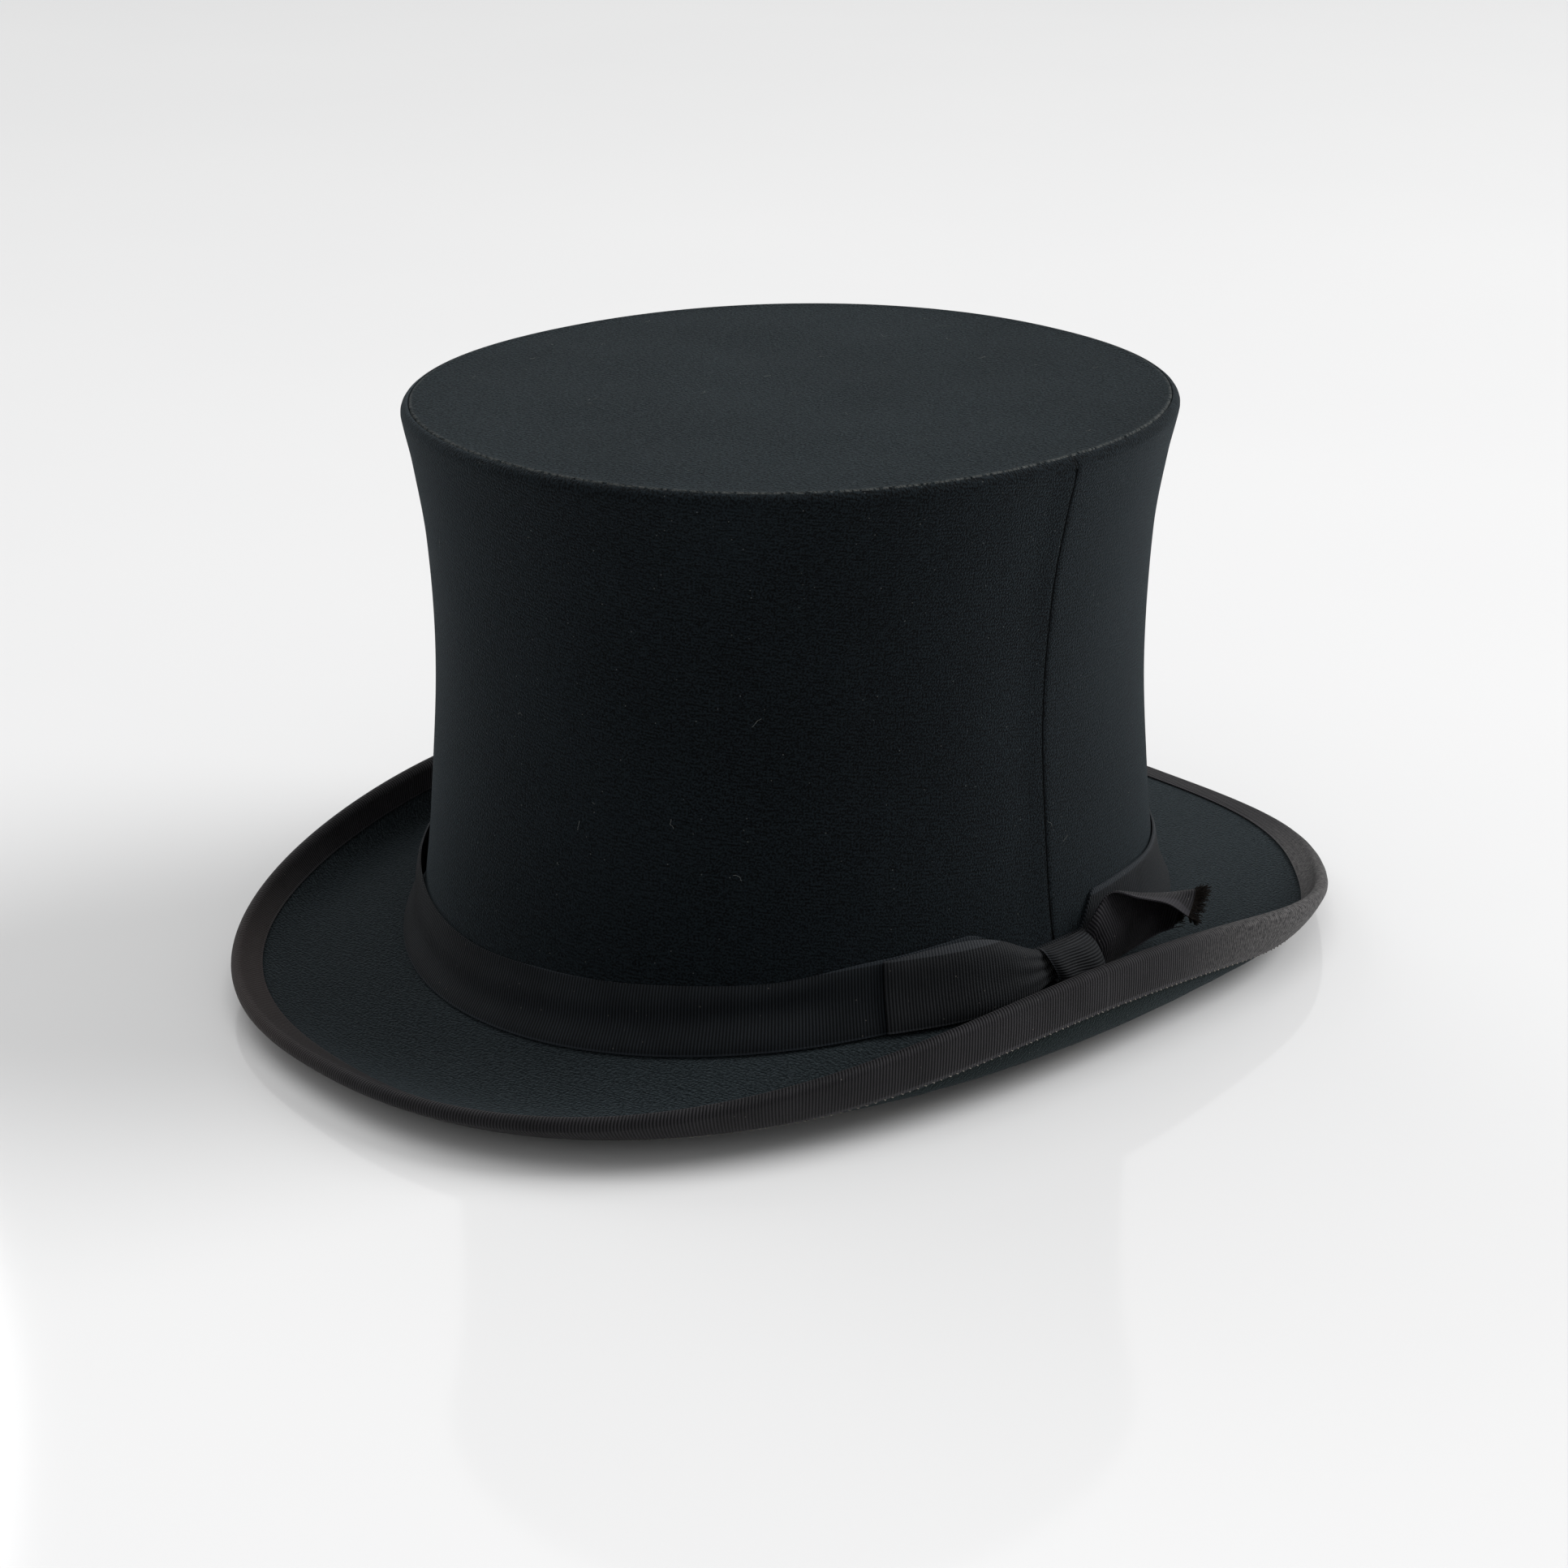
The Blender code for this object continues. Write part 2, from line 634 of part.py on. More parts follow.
def make_rib(side, degrees, crown_top):
    angle = math.radians(degrees)
    radius = pivot_radius(angle)
    knee_radius = radius - ARM_LENGTH * math.sin(REST_LEAN)
    knee_z = LOW_PIVOT_Z + ARM_LENGTH * math.cos(REST_LEAN)
    low = rib_frame(angle, radius, LOW_PIVOT_Z)
    low_arm = rib_frame(angle, radius, LOW_PIVOT_Z, REST_LEAN)
    knee_down = rib_frame(angle, knee_radius, knee_z, REST_LEAN)
    knee_up = rib_frame(angle, knee_radius, knee_z, -REST_LEAN)
    top = rib_frame(angle, radius, TOP_PIVOT_Z)
    end = ARM_WIDTH / 2 + PIN_END_GAP

    def reach(ring):
        return min(crown_radius(angle, z) for z in ring) - RING_IN - FOOT_GAP - radius

    low_foot = (BASE_RING_Z[0] - LOW_PIVOT_Z, EYE_RADIUS)
    top_foot = (-EYE_RADIUS, TOP_RING_Z[1] - TOP_PIVOT_Z)
    lower = add_part(f"{side}_lower_arm", arm_mesh(True), BLUED_STEEL, low_arm)
    upper = add_part(f"{side}_upper_arm", arm_mesh(False), BLUED_STEEL, knee_up)
    low_bracket = bracket_mesh(reach(BASE_RING_Z), *low_foot)
    top_bracket = bracket_mesh(reach(TOP_RING_Z), *top_foot)
    add_part(f"{side}_lower_bracket", low_bracket, PLATED_STEEL, low)
    add_part(f"{side}_lower_pin", pin_mesh(end), PLATED_STEEL, low)
    add_part(f"{side}_knee_spring", spring_mesh(), PLATED_STEEL, knee_down, lower)
    spring_end = end + SPRING_PITCH * SPRING_TURNS + SPRING_END_GAP
    add_part(f"{side}_knee_pin", pin_mesh(spring_end), PLATED_STEEL, knee_up, upper)
    add_part(f"{side}_upper_bracket", top_bracket, PLATED_STEEL, top, crown_top)
    add_part(f"{side}_upper_pin", pin_mesh(end), PLATED_STEEL, top, crown_top)


def main():
    clear_scene()
    crown_top = bpy.data.objects.new("crown_top_axis", None)
    bpy.context.scene.collection.objects.link(crown_top)
    front = math.radians(RIBS["front"])
    crown_top.location = polar(pivot_radius(front), front, TOP_PIVOT_Z)
    bpy.context.view_layer.update()

    make_brim()
    make_side_cloth()
    make_ring("base_ring", *BASE_RING_Z)
    make_ring("top_ring", *TOP_RING_Z, parent=crown_top)
    make_linings()
    make_sweatband()
    make_band()
    make_bow()
    make_tip(crown_top)
    for side, degrees in RIBS.items():
        make_rib(side, degrees, crown_top)


main()
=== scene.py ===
"""How the collapsible opera hat looks: cloth, ribbon, leather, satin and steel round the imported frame.

The front of the hat is -Y, the wearer's left is +X, and +Z is up. Lengths are in metres.
A grid of points runs first round the hat and then across the piece. Texture coordinates are real metres.
"""

import math
import random

import bmesh
import bpy
import numpy as np
from mathutils import Matrix, Vector


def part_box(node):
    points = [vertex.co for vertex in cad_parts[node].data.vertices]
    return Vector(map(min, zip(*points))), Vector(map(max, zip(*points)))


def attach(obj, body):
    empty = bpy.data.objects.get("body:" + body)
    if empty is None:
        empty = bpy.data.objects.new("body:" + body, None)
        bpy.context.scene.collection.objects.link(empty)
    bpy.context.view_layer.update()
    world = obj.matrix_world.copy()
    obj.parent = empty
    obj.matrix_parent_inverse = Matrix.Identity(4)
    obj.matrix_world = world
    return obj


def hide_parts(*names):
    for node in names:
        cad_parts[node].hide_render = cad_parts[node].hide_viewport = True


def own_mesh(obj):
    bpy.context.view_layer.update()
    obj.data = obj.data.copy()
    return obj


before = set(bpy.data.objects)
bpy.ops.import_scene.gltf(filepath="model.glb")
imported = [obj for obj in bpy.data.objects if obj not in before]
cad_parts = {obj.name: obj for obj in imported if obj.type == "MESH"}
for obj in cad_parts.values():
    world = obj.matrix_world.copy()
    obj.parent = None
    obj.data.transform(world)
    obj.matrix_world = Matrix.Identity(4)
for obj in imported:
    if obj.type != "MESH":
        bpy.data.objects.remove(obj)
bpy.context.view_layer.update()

# ---- the surfaces that the CAD pieces follow ----

TIP_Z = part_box("tip_cloth")[1].z
JOIN_Z = 0.0145  # where the crown meets the brim, at the sides
SADDLE_DROP = 0.0072  # how much lower that line runs at the front and the back
WAIST_RADIUS = 0.0888
# Share of the height, mean radius past the waist, and depth less width of the oval.
CROWN_PROFILE = (
    (0.00, 0.0090, 0.0110),
    (0.06, 0.0060, 0.0105),
    (0.13, 0.0044, 0.0099),
    (0.25, 0.0026, 0.0089),
    (0.50, 0.0000, 0.0077),
    (0.75, 0.0007, 0.0062),
    (0.90, 0.0033, 0.0051),
    (0.98, 0.0054, 0.0047),
    (1.00, 0.0054, 0.0046),
)
TIP_SQUARENESS = 0.11
RIM_X, RIM_Y, RIM_EXPONENT = 0.1122, 0.1478, 2.387
RIM_LOW_Z, RIM_LIFT, FRONT_LIFT = 0.0019, 0.0222, 0.0020
FLARE, FLARE_AT, FLARE_WIDTH = 0.0050, math.radians(40), math.radians(13)
# The edge also turns up at the front: how far, how much the brim dips behind it, and where.
TURN_UP, TURN_DIP, TURN_AT, TURN_WIDTH = 0.0042, 0.0120, math.radians(-82), math.radians(28)
BRIM_INSET, BRIM_TUCK = 0.0035, 0.0012
FLAT_REACH, FLAT_RISE = 0.33, 0.0013
CURL_REACH, CURL_SAG = 0.54, -0.0006
CURL_LEAN, CURL_DROP = 0.0017, -0.0290
BOARD, BRIM_CLOTH, BRIM_GAP, BINDING = 0.0010, 0.0005, 0.0002, 0.0005
BINDING_TOP, BINDING_UNDER = 0.0060, 0.0090  # how far back from the rim the binding reaches
BINDING_WIDTH = 0.0205  # laid flat
BAND, BAND_HEIGHT, BAND_LIFT = 0.0007, 0.0175, 0.0004
BAND_GAP_TOP, BAND_GAP_LOW = 0.0006, 0.0013

# ---- sizes that only the looks have ----

STEPS = 288  # round the hat
CLOTH = 0.0009
FOLD_LOW_Z, FOLD_HIGH_Z = 0.0388, 0.1310  # the cloth between these crumples as the hat folds
TIP_INSET = 0.0021  # the flat of the tip starts this far inside the crown
EDGE_ROUND = 0.0026  # height of the rounding between the wall and the tip
LINING_OUT, LINING = 0.0031, 0.0005
LINING_LOW_Z, LINING_HIGH_Z = 0.0240, 0.1412
SWEAT_OUT, SWEAT, SWEAT_TOP_Z = 0.0046, 0.0012, 0.0320
REED_RADIUS = 0.0007
RIB_PITCH, RIB_THREAD = 0.00080, 0.00024  # of the ribbed ribbon, along it and across it
TWILL_PITCH = 0.00085  # between the lines of the cloth
THREAD = 0.00016  # radius of the sweatband's stitches
UV_RADIUS, UV_ROUND = 0.0915, 0.575  # the side cloth laid flat: its radius and its length round the hat
SEAM = ((0.0, 4.4), (0.15, 3.7), (0.3, 3.3), (0.6, 3.2), (0.85, 3.8), (1.0, 4.1))  # share, degrees


def mix(a, b, share):
    return a + (b - a) * share


def bell(value, width):
    return np.exp(-((value / width) ** 2))


def ramp(value, low, high):
    return np.clip((value - low) / (high - low), 0, 1)


def smooth(value, low, high):
    share = ramp(value, low, high)
    return share * share * (3 - 2 * share)


def along(table, share):
    """Smooth values between the rows of a table, whose first column is the share."""
    rows = np.array(table, float)
    knots, values = rows[:, 0], rows[:, 1:]
    share = np.clip(share, knots[0], knots[-1])
    k = np.clip(np.searchsorted(knots, share, side="right") - 1, 0, len(knots) - 2)
    before, after = np.maximum(k - 1, 0), np.minimum(k + 2, len(knots) - 1)
    width = (knots[k + 1] - knots[k])[..., None]
    u = (share - knots[k])[..., None] / width
    slope_low = (values[k + 1] - values[before]) / (knots[k + 1] - knots[before])[..., None] * width
    slope_high = (values[after] - values[k]) / (knots[after] - knots[k])[..., None] * width
    return (
        (2 * u**3 - 3 * u**2 + 1) * values[k]
        + (u**3 - 2 * u**2 + u) * slope_low
        + (3 * u**2 - 2 * u**3) * values[k + 1]
        + (u**3 - u**2) * slope_high
    )


def oval(angle, half_x, half_y, exponent=2.0):
    return (
        np.abs(np.cos(angle) / half_x) ** exponent + np.abs(np.sin(angle) / half_y) ** exponent
    ) ** (-1 / exponent)


def signed(angle):
    """The same angle, from -pi to pi."""
    return np.mod(angle + math.pi, 2 * math.pi) - math.pi


def polar(radius, angle, z):
    radius, angle, z = np.broadcast_arrays(radius, angle, z)
    return np.stack([radius * np.cos(angle), radius * np.sin(angle), z], axis=-1)


def join_z(angle):
    """Height of the line where the crown meets the brim."""
    return JOIN_Z - SADDLE_DROP * np.sin(angle) ** 2


def crown_radius(angle, z):
    """Outer radius of the side cloth."""
    angle, z = np.broadcast_arrays(np.asarray(angle, float), np.asarray(z, float))
    low = join_z(angle)
    share = ramp(z, low, TIP_Z)
    grown = along(CROWN_PROFILE, share)
    mean, spread = WAIST_RADIUS + grown[..., 0], grown[..., 1]
    return oval(angle, mean - spread / 2, mean + spread / 2, 2 + TIP_SQUARENESS * share)


def bump(angle, centre, width):
    """1 at the centre, falling smoothly to 0 round the hat."""
    away = math.remainder(angle - centre, 2 * math.pi)
    return math.exp(-((away / width) ** 2))


def brim_curve(angle, steps=60):
    """Points (radius, z) and normals along the middle of the brim, from the rim to under the crown."""
    curl = math.cos(angle) ** 2
    flare = FLARE * bump(angle, FLARE_AT, FLARE_WIDTH)
    turned = bump(angle, TURN_AT, TURN_WIDTH)
    join = float(join_z(angle))
    start = np.array((float(crown_radius(angle, join)) - BRIM_INSET, join - BRIM_TUCK))
    rim_z = RIM_LOW_Z + RIM_LIFT * curl + FRONT_LIFT * (1 - math.sin(angle)) / 2 + TURN_UP * turned
    end = np.array((float(oval(angle, RIM_X, RIM_Y, RIM_EXPONENT)) + flare, rim_z))
    width = end[0] - start[0]
    first = start + (width * mix(FLAT_REACH, CURL_REACH, curl), mix(0, CURL_SAG, curl))
    second_drop = mix(FLAT_RISE, CURL_DROP, curl) - TURN_DIP * turned
    second = end + (mix(-FLAT_REACH * width, CURL_LEAN, curl), second_drop)
    t = np.linspace(1, 0, steps + 1)[:, None]
    s = 1 - t
    points = s**3 * start + 3 * s * s * t * first + 3 * s * t * t * second + t**3 * end
    slope = s * s * (first - start) + 2 * s * t * (second - first) + t * t * (end - second)
    slope /= np.linalg.norm(slope, axis=1, keepdims=True)
    return points, np.stack([-slope[:, 1], slope[:, 0]], axis=1)


def brim_places(angles, fixed, rest=0, last=1.0):
    """Points, normals and distances back from the rim, for each angle.

    Fixed lists distances back from the rim. Rest adds that many rows on to the last share of the brim.
    """
    points, normals, backs = [], [], []
    for angle in angles:
        curve, normal = brim_curve(angle)
        far = np.concatenate([[0], np.cumsum(np.linalg.norm(np.diff(curve, axis=0), axis=1))])
        more = np.linspace(fixed[-1], far[-1] * last, rest + 1)[1:] if rest else []
        back = np.concatenate([fixed, more])
        points.append(np.stack([np.interp(back, far, curve[:, k]) for k in (0, 1)], axis=1))
        found = np.stack([np.interp(back, far, normal[:, k]) for k in (0, 1)], axis=1)
        normals.append(found / np.linalg.norm(found, axis=1, keepdims=True))
        backs.append(np.stack([back, np.full_like(back, far[-1])], axis=1))
    return np.array(points), np.array(normals), np.array(backs)


def brim_offset(angles, points, normals, offset):
    moved = points + normals * offset
    return polar(moved[..., 0], np.asarray(angles)[:, None], moved[..., 1])


def band_face(angle, share):
    """Radius and height of the band's inner face, with share 0 at its lower edge and 1 at its upper edge."""
    z = join_z(angle) + BAND_LIFT + BAND_HEIGHT * np.asarray(share)
    inside = np.clip(share, 0, 1)
    return crown_radius(angle, z) + mix(BAND_GAP_LOW, BAND_GAP_TOP, inside), z


# ---- meshes ----


def turns(count=STEPS):
    return np.arange(count) * 2 * math.pi / count


def wrapped(values):
    """Values round the hat with the first one again at the end."""
    return np.concatenate([values, values[:1]])


def lengths(points, axis):
    """Distance travelled along one direction of a grid, starting from 0."""
    steps = np.linalg.norm(np.diff(points, axis=axis), axis=-1)
    start = np.zeros_like(np.take(steps, [0], axis=axis))
    return np.concatenate([start, np.cumsum(steps, axis=axis)], axis=axis)


def metre_uv(points, wrap=True):
    """Texture coordinates in metres: round the hat along the middle row, and across along each row."""
    grid = wrapped(points) if wrap else points
    middle = lengths(grid[:, grid.shape[1] // 2], 0)
    across = lengths(grid, 1)
    return np.stack(np.broadcast_arrays(middle[:, None], across), axis=-1)


def grid_normals(points, wrap=True):
    """Unit normals of a grid of points, away from the hat's axis on a wall whose rows rise."""
    if wrap:
        round_step = np.roll(points, -1, axis=0) - np.roll(points, 1, axis=0)
    else:
        round_step = np.gradient(points, axis=0)
    normal = np.cross(round_step, np.gradient(points, axis=1))
    return normal / np.maximum(np.linalg.norm(normal, axis=-1, keepdims=True), 1e-12)


def finished(name, mesh, finish):
    piece = bpy.data.objects.new(name, mesh)
    bpy.context.scene.collection.objects.link(piece)
    mesh.materials.append(finish)
    return piece


def shell(name, outer, inner, uv, finish, wrap=True, normals=None):
    """A closed sheet between two grids of points. Where they wrap round, uv has one row more."""
    n, m = outer.shape[:2]
    i, j = (k.ravel() for k in np.meshgrid(np.arange(n if wrap else n - 1), np.arange(m - 1), indexing="ij"))
    first, last = np.zeros_like(i), np.ones_like(i)
    face = [(i, j), (i + 1, j), (i + 1, j + 1), (i, j + 1)]
    quads = [[(first, *c) for c in face], [(last, *c) for c in face[::-1]]]
    rows = np.arange(n if wrap else n - 1)
    low, high = np.zeros_like(rows), np.ones_like(rows)
    for at, turned in ((0, 1), (m - 1, -1)):
        edge = np.full_like(rows, at)
        strip = [(low, rows, edge), (high, rows, edge), (high, rows + 1, edge), (low, rows + 1, edge)]
        quads.append(strip[::turned])
    if not wrap:
        rows = np.arange(m - 1)
        low, high = np.zeros_like(rows), np.ones_like(rows)
        for at, turned in ((0, 1), (n - 1, -1)):
            edge = np.full_like(rows, at)
            strip = [(low, edge, rows), (low, edge, rows + 1), (high, edge, rows + 1), (high, edge, rows)]
            quads.append(strip[::turned])
    corners = np.concatenate([np.stack([np.stack(c, -1) for c in quad], axis=1) for quad in quads])
    points = np.concatenate([outer.reshape(-1, 3), inner.reshape(-1, 3)])
    index = corners[..., 0] * n * m + corners[..., 1] % n * m + corners[..., 2]
    a, b, c = (points[index[:, k]] for k in (0, 1, 2))
    d = points[index[:, 3]]
    if np.einsum("ij,ij->i", a, np.cross(b, c)).sum() + np.einsum("ij,ij->i", a, np.cross(c, d)).sum() < 0:
        corners, index = corners[:, ::-1], index[:, ::-1]
    mesh = bpy.data.meshes.new(name)
    mesh.from_pydata(points.tolist(), [], index.tolist())
    corner = corners.reshape(-1, 3)
    layer = mesh.uv_layers.new(name="cloth")
    layer.data.foreach_set("uv", uv[corner[:, 1], corner[:, 2]].astype(np.float32).ravel())
    mesh.shade_smooth()
    mesh.set_sharp_from_angle(angle=math.radians(50))
    if normals is not None:
        facing = np.where(corner[:, :1] == 0, 1.0, -1.0) * normals[corner[:, 1] % n, corner[:, 2]]
        rim = np.repeat(np.arange(len(corners)) >= 2 * len(i), 4)
        facing[rim] = 0
        mesh.normals_split_custom_set(facing.tolist())
    return finished(name, mesh, finish)


def strands(name, paths, radius, finish, cyclic=False, sides=1):
    """Fine round strands along paths of points, as one mesh."""
    curve = bpy.data.curves.new(name, "CURVE")
    curve.dimensions = "3D"
    curve.bevel_depth, curve.bevel_resolution, curve.use_fill_caps = radius, sides, True
    for path in paths:
        spline = curve.splines.new("POLY")
        spline.points.add(len(path) - 1)
        spline.use_cyclic_u = cyclic
        for point, place in zip(spline.points, path):
            point.co = (*place, 1)
    holder = bpy.data.objects.new(name, curve)
    mesh = bpy.data.meshes.new_from_object(holder)
    bpy.data.objects.remove(holder)
    bpy.data.curves.remove(curve)
    shape = bmesh.new()
    shape.from_mesh(mesh)
    bmesh.ops.remove_doubles(shape, verts=shape.verts, dist=1e-6)
    bmesh.ops.recalc_face_normals(shape, faces=shape.faces)
    shape.to_mesh(mesh)
    shape.free()
    mesh.shade_smooth()
    mesh.materials.clear()
    return finished(name, mesh, finish)


# ---- materials ----


class Finish:
    """A material, with short ways to add nodes to it. Keywords set the shader's own sockets."""

    def __init__(self, name, **sockets):
        self.material = bpy.data.materials.new(name)
        self.material.use_nodes = True
        self.tree = self.material.node_tree
        self.shader = self.tree.nodes["Principled BSDF"]
        for socket, value in sockets.items():
            self.shader.inputs[socket.replace("_", " ")].default_value = value

    def put(self, socket, value):
        if isinstance(value, bpy.types.NodeSocket):
            self.tree.links.new(value, socket)
        else:
            socket.default_value = value

    def node(self, kind, values, **settings):
        made = self.tree.nodes.new("ShaderNode" + kind)
        for key, value in settings.items():
            setattr(made, key, value)
        for key, value in values.items():
            self.put(made.inputs[key], value)
        return made

    def math(self, operation, *values):
        return self.node("Math", dict(enumerate(values)), operation=operation).outputs[0]

    def scaled(self, value, factor, offset=0.0):
        return self.math("MULTIPLY_ADD", value, factor, offset)

    def uv(self):
        return self.node("UVMap", {}, uv_map="cloth").outputs["UV"]

    def place(self):
        return self.node("TexCoord", {}).outputs["Object"]

    def away(self, centre):
        values = {0: self.place(), 1: centre}
        return self.node("VectorMath", values, operation="DISTANCE").outputs["Value"]

    def parts(self, vector):
        return self.node("SeparateXYZ", {0: vector}).outputs

    def vector(self, x, y, z=0.0):
        return self.node("CombineXYZ", {0: x, 1: y, 2: z}).outputs[0]

    def noise(self, place, scale, detail=2.0, roughness=0.5):
        values = {"Vector": place, "Scale": scale, "Detail": detail, "Roughness": roughness}
        return self.node("TexNoise", values).outputs["Fac"]

    def streaks(self, u, v, along_u, along_v, detail=2.0):
        """Noise with a scale of its own in each direction."""
        return self.noise(self.vector(self.scaled(u, along_u), self.scaled(v, along_v)), 1.0, detail)

    def step(self, value, low, high):
        values = {"Value": value, "From Min": low, "From Max": high}
        return self.node("MapRange", values, interpolation_type="SMOOTHSTEP").outputs["Result"]

    def blend(self, share, first, second):
        colours = [(*c, 1.0) if isinstance(c, tuple) else c for c in (first, second)]
        return self.node("Mix", {0: share, 6: colours[0], 7: colours[1]}, data_type="RGBA").outputs[2]

    def finish(self, colour, roughness, height=None, distance=0.0002, strength=1.0):
        self.put(self.shader.inputs["Base Color"], (*colour, 1.0) if isinstance(colour, tuple) else colour)
        self.put(self.shader.inputs["Roughness"], roughness)
        if height is not None:
            bump = self.node("Bump", {"Height": height, "Distance": distance, "Strength": strength})
            self.put(self.shader.inputs["Normal"], bump.outputs["Normal"])
        return self.material


def specks(made, scale=330.0, size=0.06):
    """Dust: small spots, spread out evenly."""
    spots = made.node("TexVoronoi", {"Vector": made.place(), "Scale": scale})
    return made.step(spots.outputs["Distance"], size, size * 0.6)


def cloth(name, dark, light, sheen, slope=-8.0, grain_scale=2000.0, relief=0.0005, seam_round=0, worn_edge=0):
    """Fine black wool cloth with broken twill lines, painted shade along its seam and a worn edge."""
    made = Finish(
        name,
        Sheen_Weight=sheen,
        Sheen_Roughness=0.42,
        Sheen_Tint=(0.72, 0.89, 1.0, 1.0),
        Specular_IOR_Level=0.06,
    )
    uv = made.uv()
    u, v = made.parts(uv)[0:2]
    lean = math.radians(slope)
    rise = made.scaled(v, math.cos(lean), made.scaled(u, -math.sin(lean)))
    run = made.scaled(u, math.cos(lean), made.scaled(v, math.sin(lean)))
    wander = made.scaled(made.noise(uv, 420.0, 1.0), 2.4)
    line = made.math("SINE", made.scaled(rise, 2 * math.pi / TWILL_PITCH, wander))
    dashes = made.streaks(run, rise, 330.0, 1700.0, 1.0)
    grain = made.noise(uv, grain_scale, 2.0, 0.6)
    weave = made.scaled(line, 0.04, made.scaled(dashes, 0.45, made.scaled(grain, 1.6)))
    height = made.scaled(weave, 0.6)
    patches = made.noise(made.place(), 16.0, 3.0, 0.6)
    share = made.math("ADD", made.step(weave, 0.83, 1.22), made.scaled(patches, 0.8, -0.42))
    colour = made.blend(share, dark, light)
    # Painted shade: a near-black line along the seam, where its groove lies in shadow.
    if seam_round:
        centred = made.math("ABSOLUTE", made.scaled(u, 1.0, -seam_round / 2))
        near = made.math("SUBTRACT", seam_round / 2, centred)
        colour = made.blend(made.step(near, 0.0011, 0.0005), colour, (0.0003, 0.0004, 0.0005))
    if worn_edge:
        edge = made.step(made.noise(uv, 900.0, 2.0), 0.35, 0.6)
        near = made.step(made.parts(made.node("UVMap", {}, uv_map="edge").outputs["UV"])[0], worn_edge, 0.0)
        colour = made.blend(made.math("MULTIPLY", near, edge), colour, (0.075, 0.080, 0.078))
    colour = made.blend(made.scaled(specks(made), 0.4), colour, (0.16, 0.17, 0.165))
    rough = made.scaled(grain, 0.25, 0.72)
    return made.finish(colour, rough, height, distance=relief, strength=0.9)


def ribbon(name, width, fade=None, crest=(0.0135, 0.0165, 0.0200), pit=(0.0010, 0.0016, 0.0022), worn=None):
    """Ribbed silk ribbon, its ribs across it, with a thin woven edge at both sides.

    Fade gives the centre, reach and colour of a place that has lost its black; worn gives them for a rubbed
    place, lighter grey, with a painted highlight on it.
    """
    made = Finish(
        name,
        Sheen_Weight=0.05,
        Sheen_Roughness=0.35,
        Sheen_Tint=(1.0, 0.97, 0.97, 1.0),
        Specular_IOR_Level=0.09,
    )
    uv = made.uv()
    u, v = made.parts(uv)[0:2]
    wander = made.scaled(made.streaks(u, v, 160.0, 60.0), 2.6)
    rib = made.math("SINE", made.scaled(u, 2 * math.pi / RIB_PITCH, wander))
    rib = made.scaled(rib, 0.38, 0.38)
    threads = made.scaled(made.math("SINE", made.scaled(v, 2 * math.pi / RIB_THREAD)), 0.5, 0.5)
    grain = made.noise(uv, 3600.0, 2.0, 0.7)
    height = made.scaled(threads, 0.10, made.scaled(grain, 0.62, rib))
    patches = made.noise(made.place(), 60.0, 4.0, 0.7)
    lit = made.math("MULTIPLY", made.step(height, 0.34, 1.16), made.scaled(patches, 1.6, 0.1))
    colour = made.blend(lit, pit, crest)
    edge = made.math("SUBTRACT", width / 2, made.math("ABSOLUTE", made.scaled(v, 1.0, -width / 2)))
    selvedge = tuple(part * 1.7 for part in crest)
    colour = made.blend(made.scaled(made.step(edge, 0.0006, 0.0003), 0.6), colour, selvedge)
    if fade:
        centre, reach, tone = fade
        share = made.math("MULTIPLY", made.step(made.away(centre), reach, 0.0), made.scaled(grain, 1.1, 0.1))
        colour = made.blend(share, colour, tone)
    # Rubbed wear with a painted highlight: the binding is lighter grey where it faces the back-right lamp.
    if worn:
        centre, reach, tone = worn
        rubbed_and_lit = made.step(made.noise(uv, 900.0, 3.0, 0.7), 0.25, 0.75)
        share = made.math("MULTIPLY", made.step(made.away(centre), reach, reach * 0.3), rubbed_and_lit)
        colour = made.blend(share, colour, tone)
    colour = made.blend(made.scaled(specks(made, 360.0), 0.5), colour, (0.20, 0.18, 0.16))
    rough = made.scaled(grain, 0.3, 0.42)
    return made.finish(colour, rough, height, distance=0.00022, strength=0.8)


def satin(name):
    """Black silk satin with fine threads one way and soft creases."""
    made = Finish(name, Sheen_Weight=0.15, Specular_IOR_Level=0.6, Anisotropic=0.6)
    uv = made.uv()
    u, v = made.parts(uv)[0:2]
    threads = made.streaks(u, v, 5200.0, 300.0)
    creases = made.streaks(u, v, 150.0, 38.0, 3.0)
    patches = made.noise(made.place(), 30.0, 2.0)
    colour = made.blend(made.step(patches, 0.3, 0.7), (0.010, 0.010, 0.012), (0.020, 0.019, 0.021))
    colour = made.blend(made.scaled(threads, 0.5), colour, (0.035, 0.034, 0.037))
    height = made.scaled(threads, 0.05, creases)
    return made.finish(colour, made.scaled(threads, 0.2, 0.22), height, distance=0.0007, strength=0.6)


def leather(name):
    """Brown sheepskin, darker and shinier where it has been worn."""
    made = Finish(name, Specular_IOR_Level=0.45)
    place = made.place()
    cells = made.node("TexVoronoi", {"Vector": place, "Scale": 1500.0}, feature="DISTANCE_TO_EDGE")
    pores = made.step(cells.outputs["Distance"], 0.0, 0.25)
    fine = made.noise(place, 5200.0, 2.0)
    worn = made.step(made.noise(place, 28.0, 4.0, 0.65), 0.38, 0.66)
    colour = made.blend(worn, (0.145, 0.062, 0.026), (0.060, 0.025, 0.012))
    colour = made.blend(made.scaled(pores, -0.5, 0.5), colour, (0.030, 0.012, 0.006))
    height = made.scaled(fine, 0.4, pores)
    return made.finish(colour, made.scaled(worn, -0.16, 0.56), height, distance=0.00012, strength=0.7)


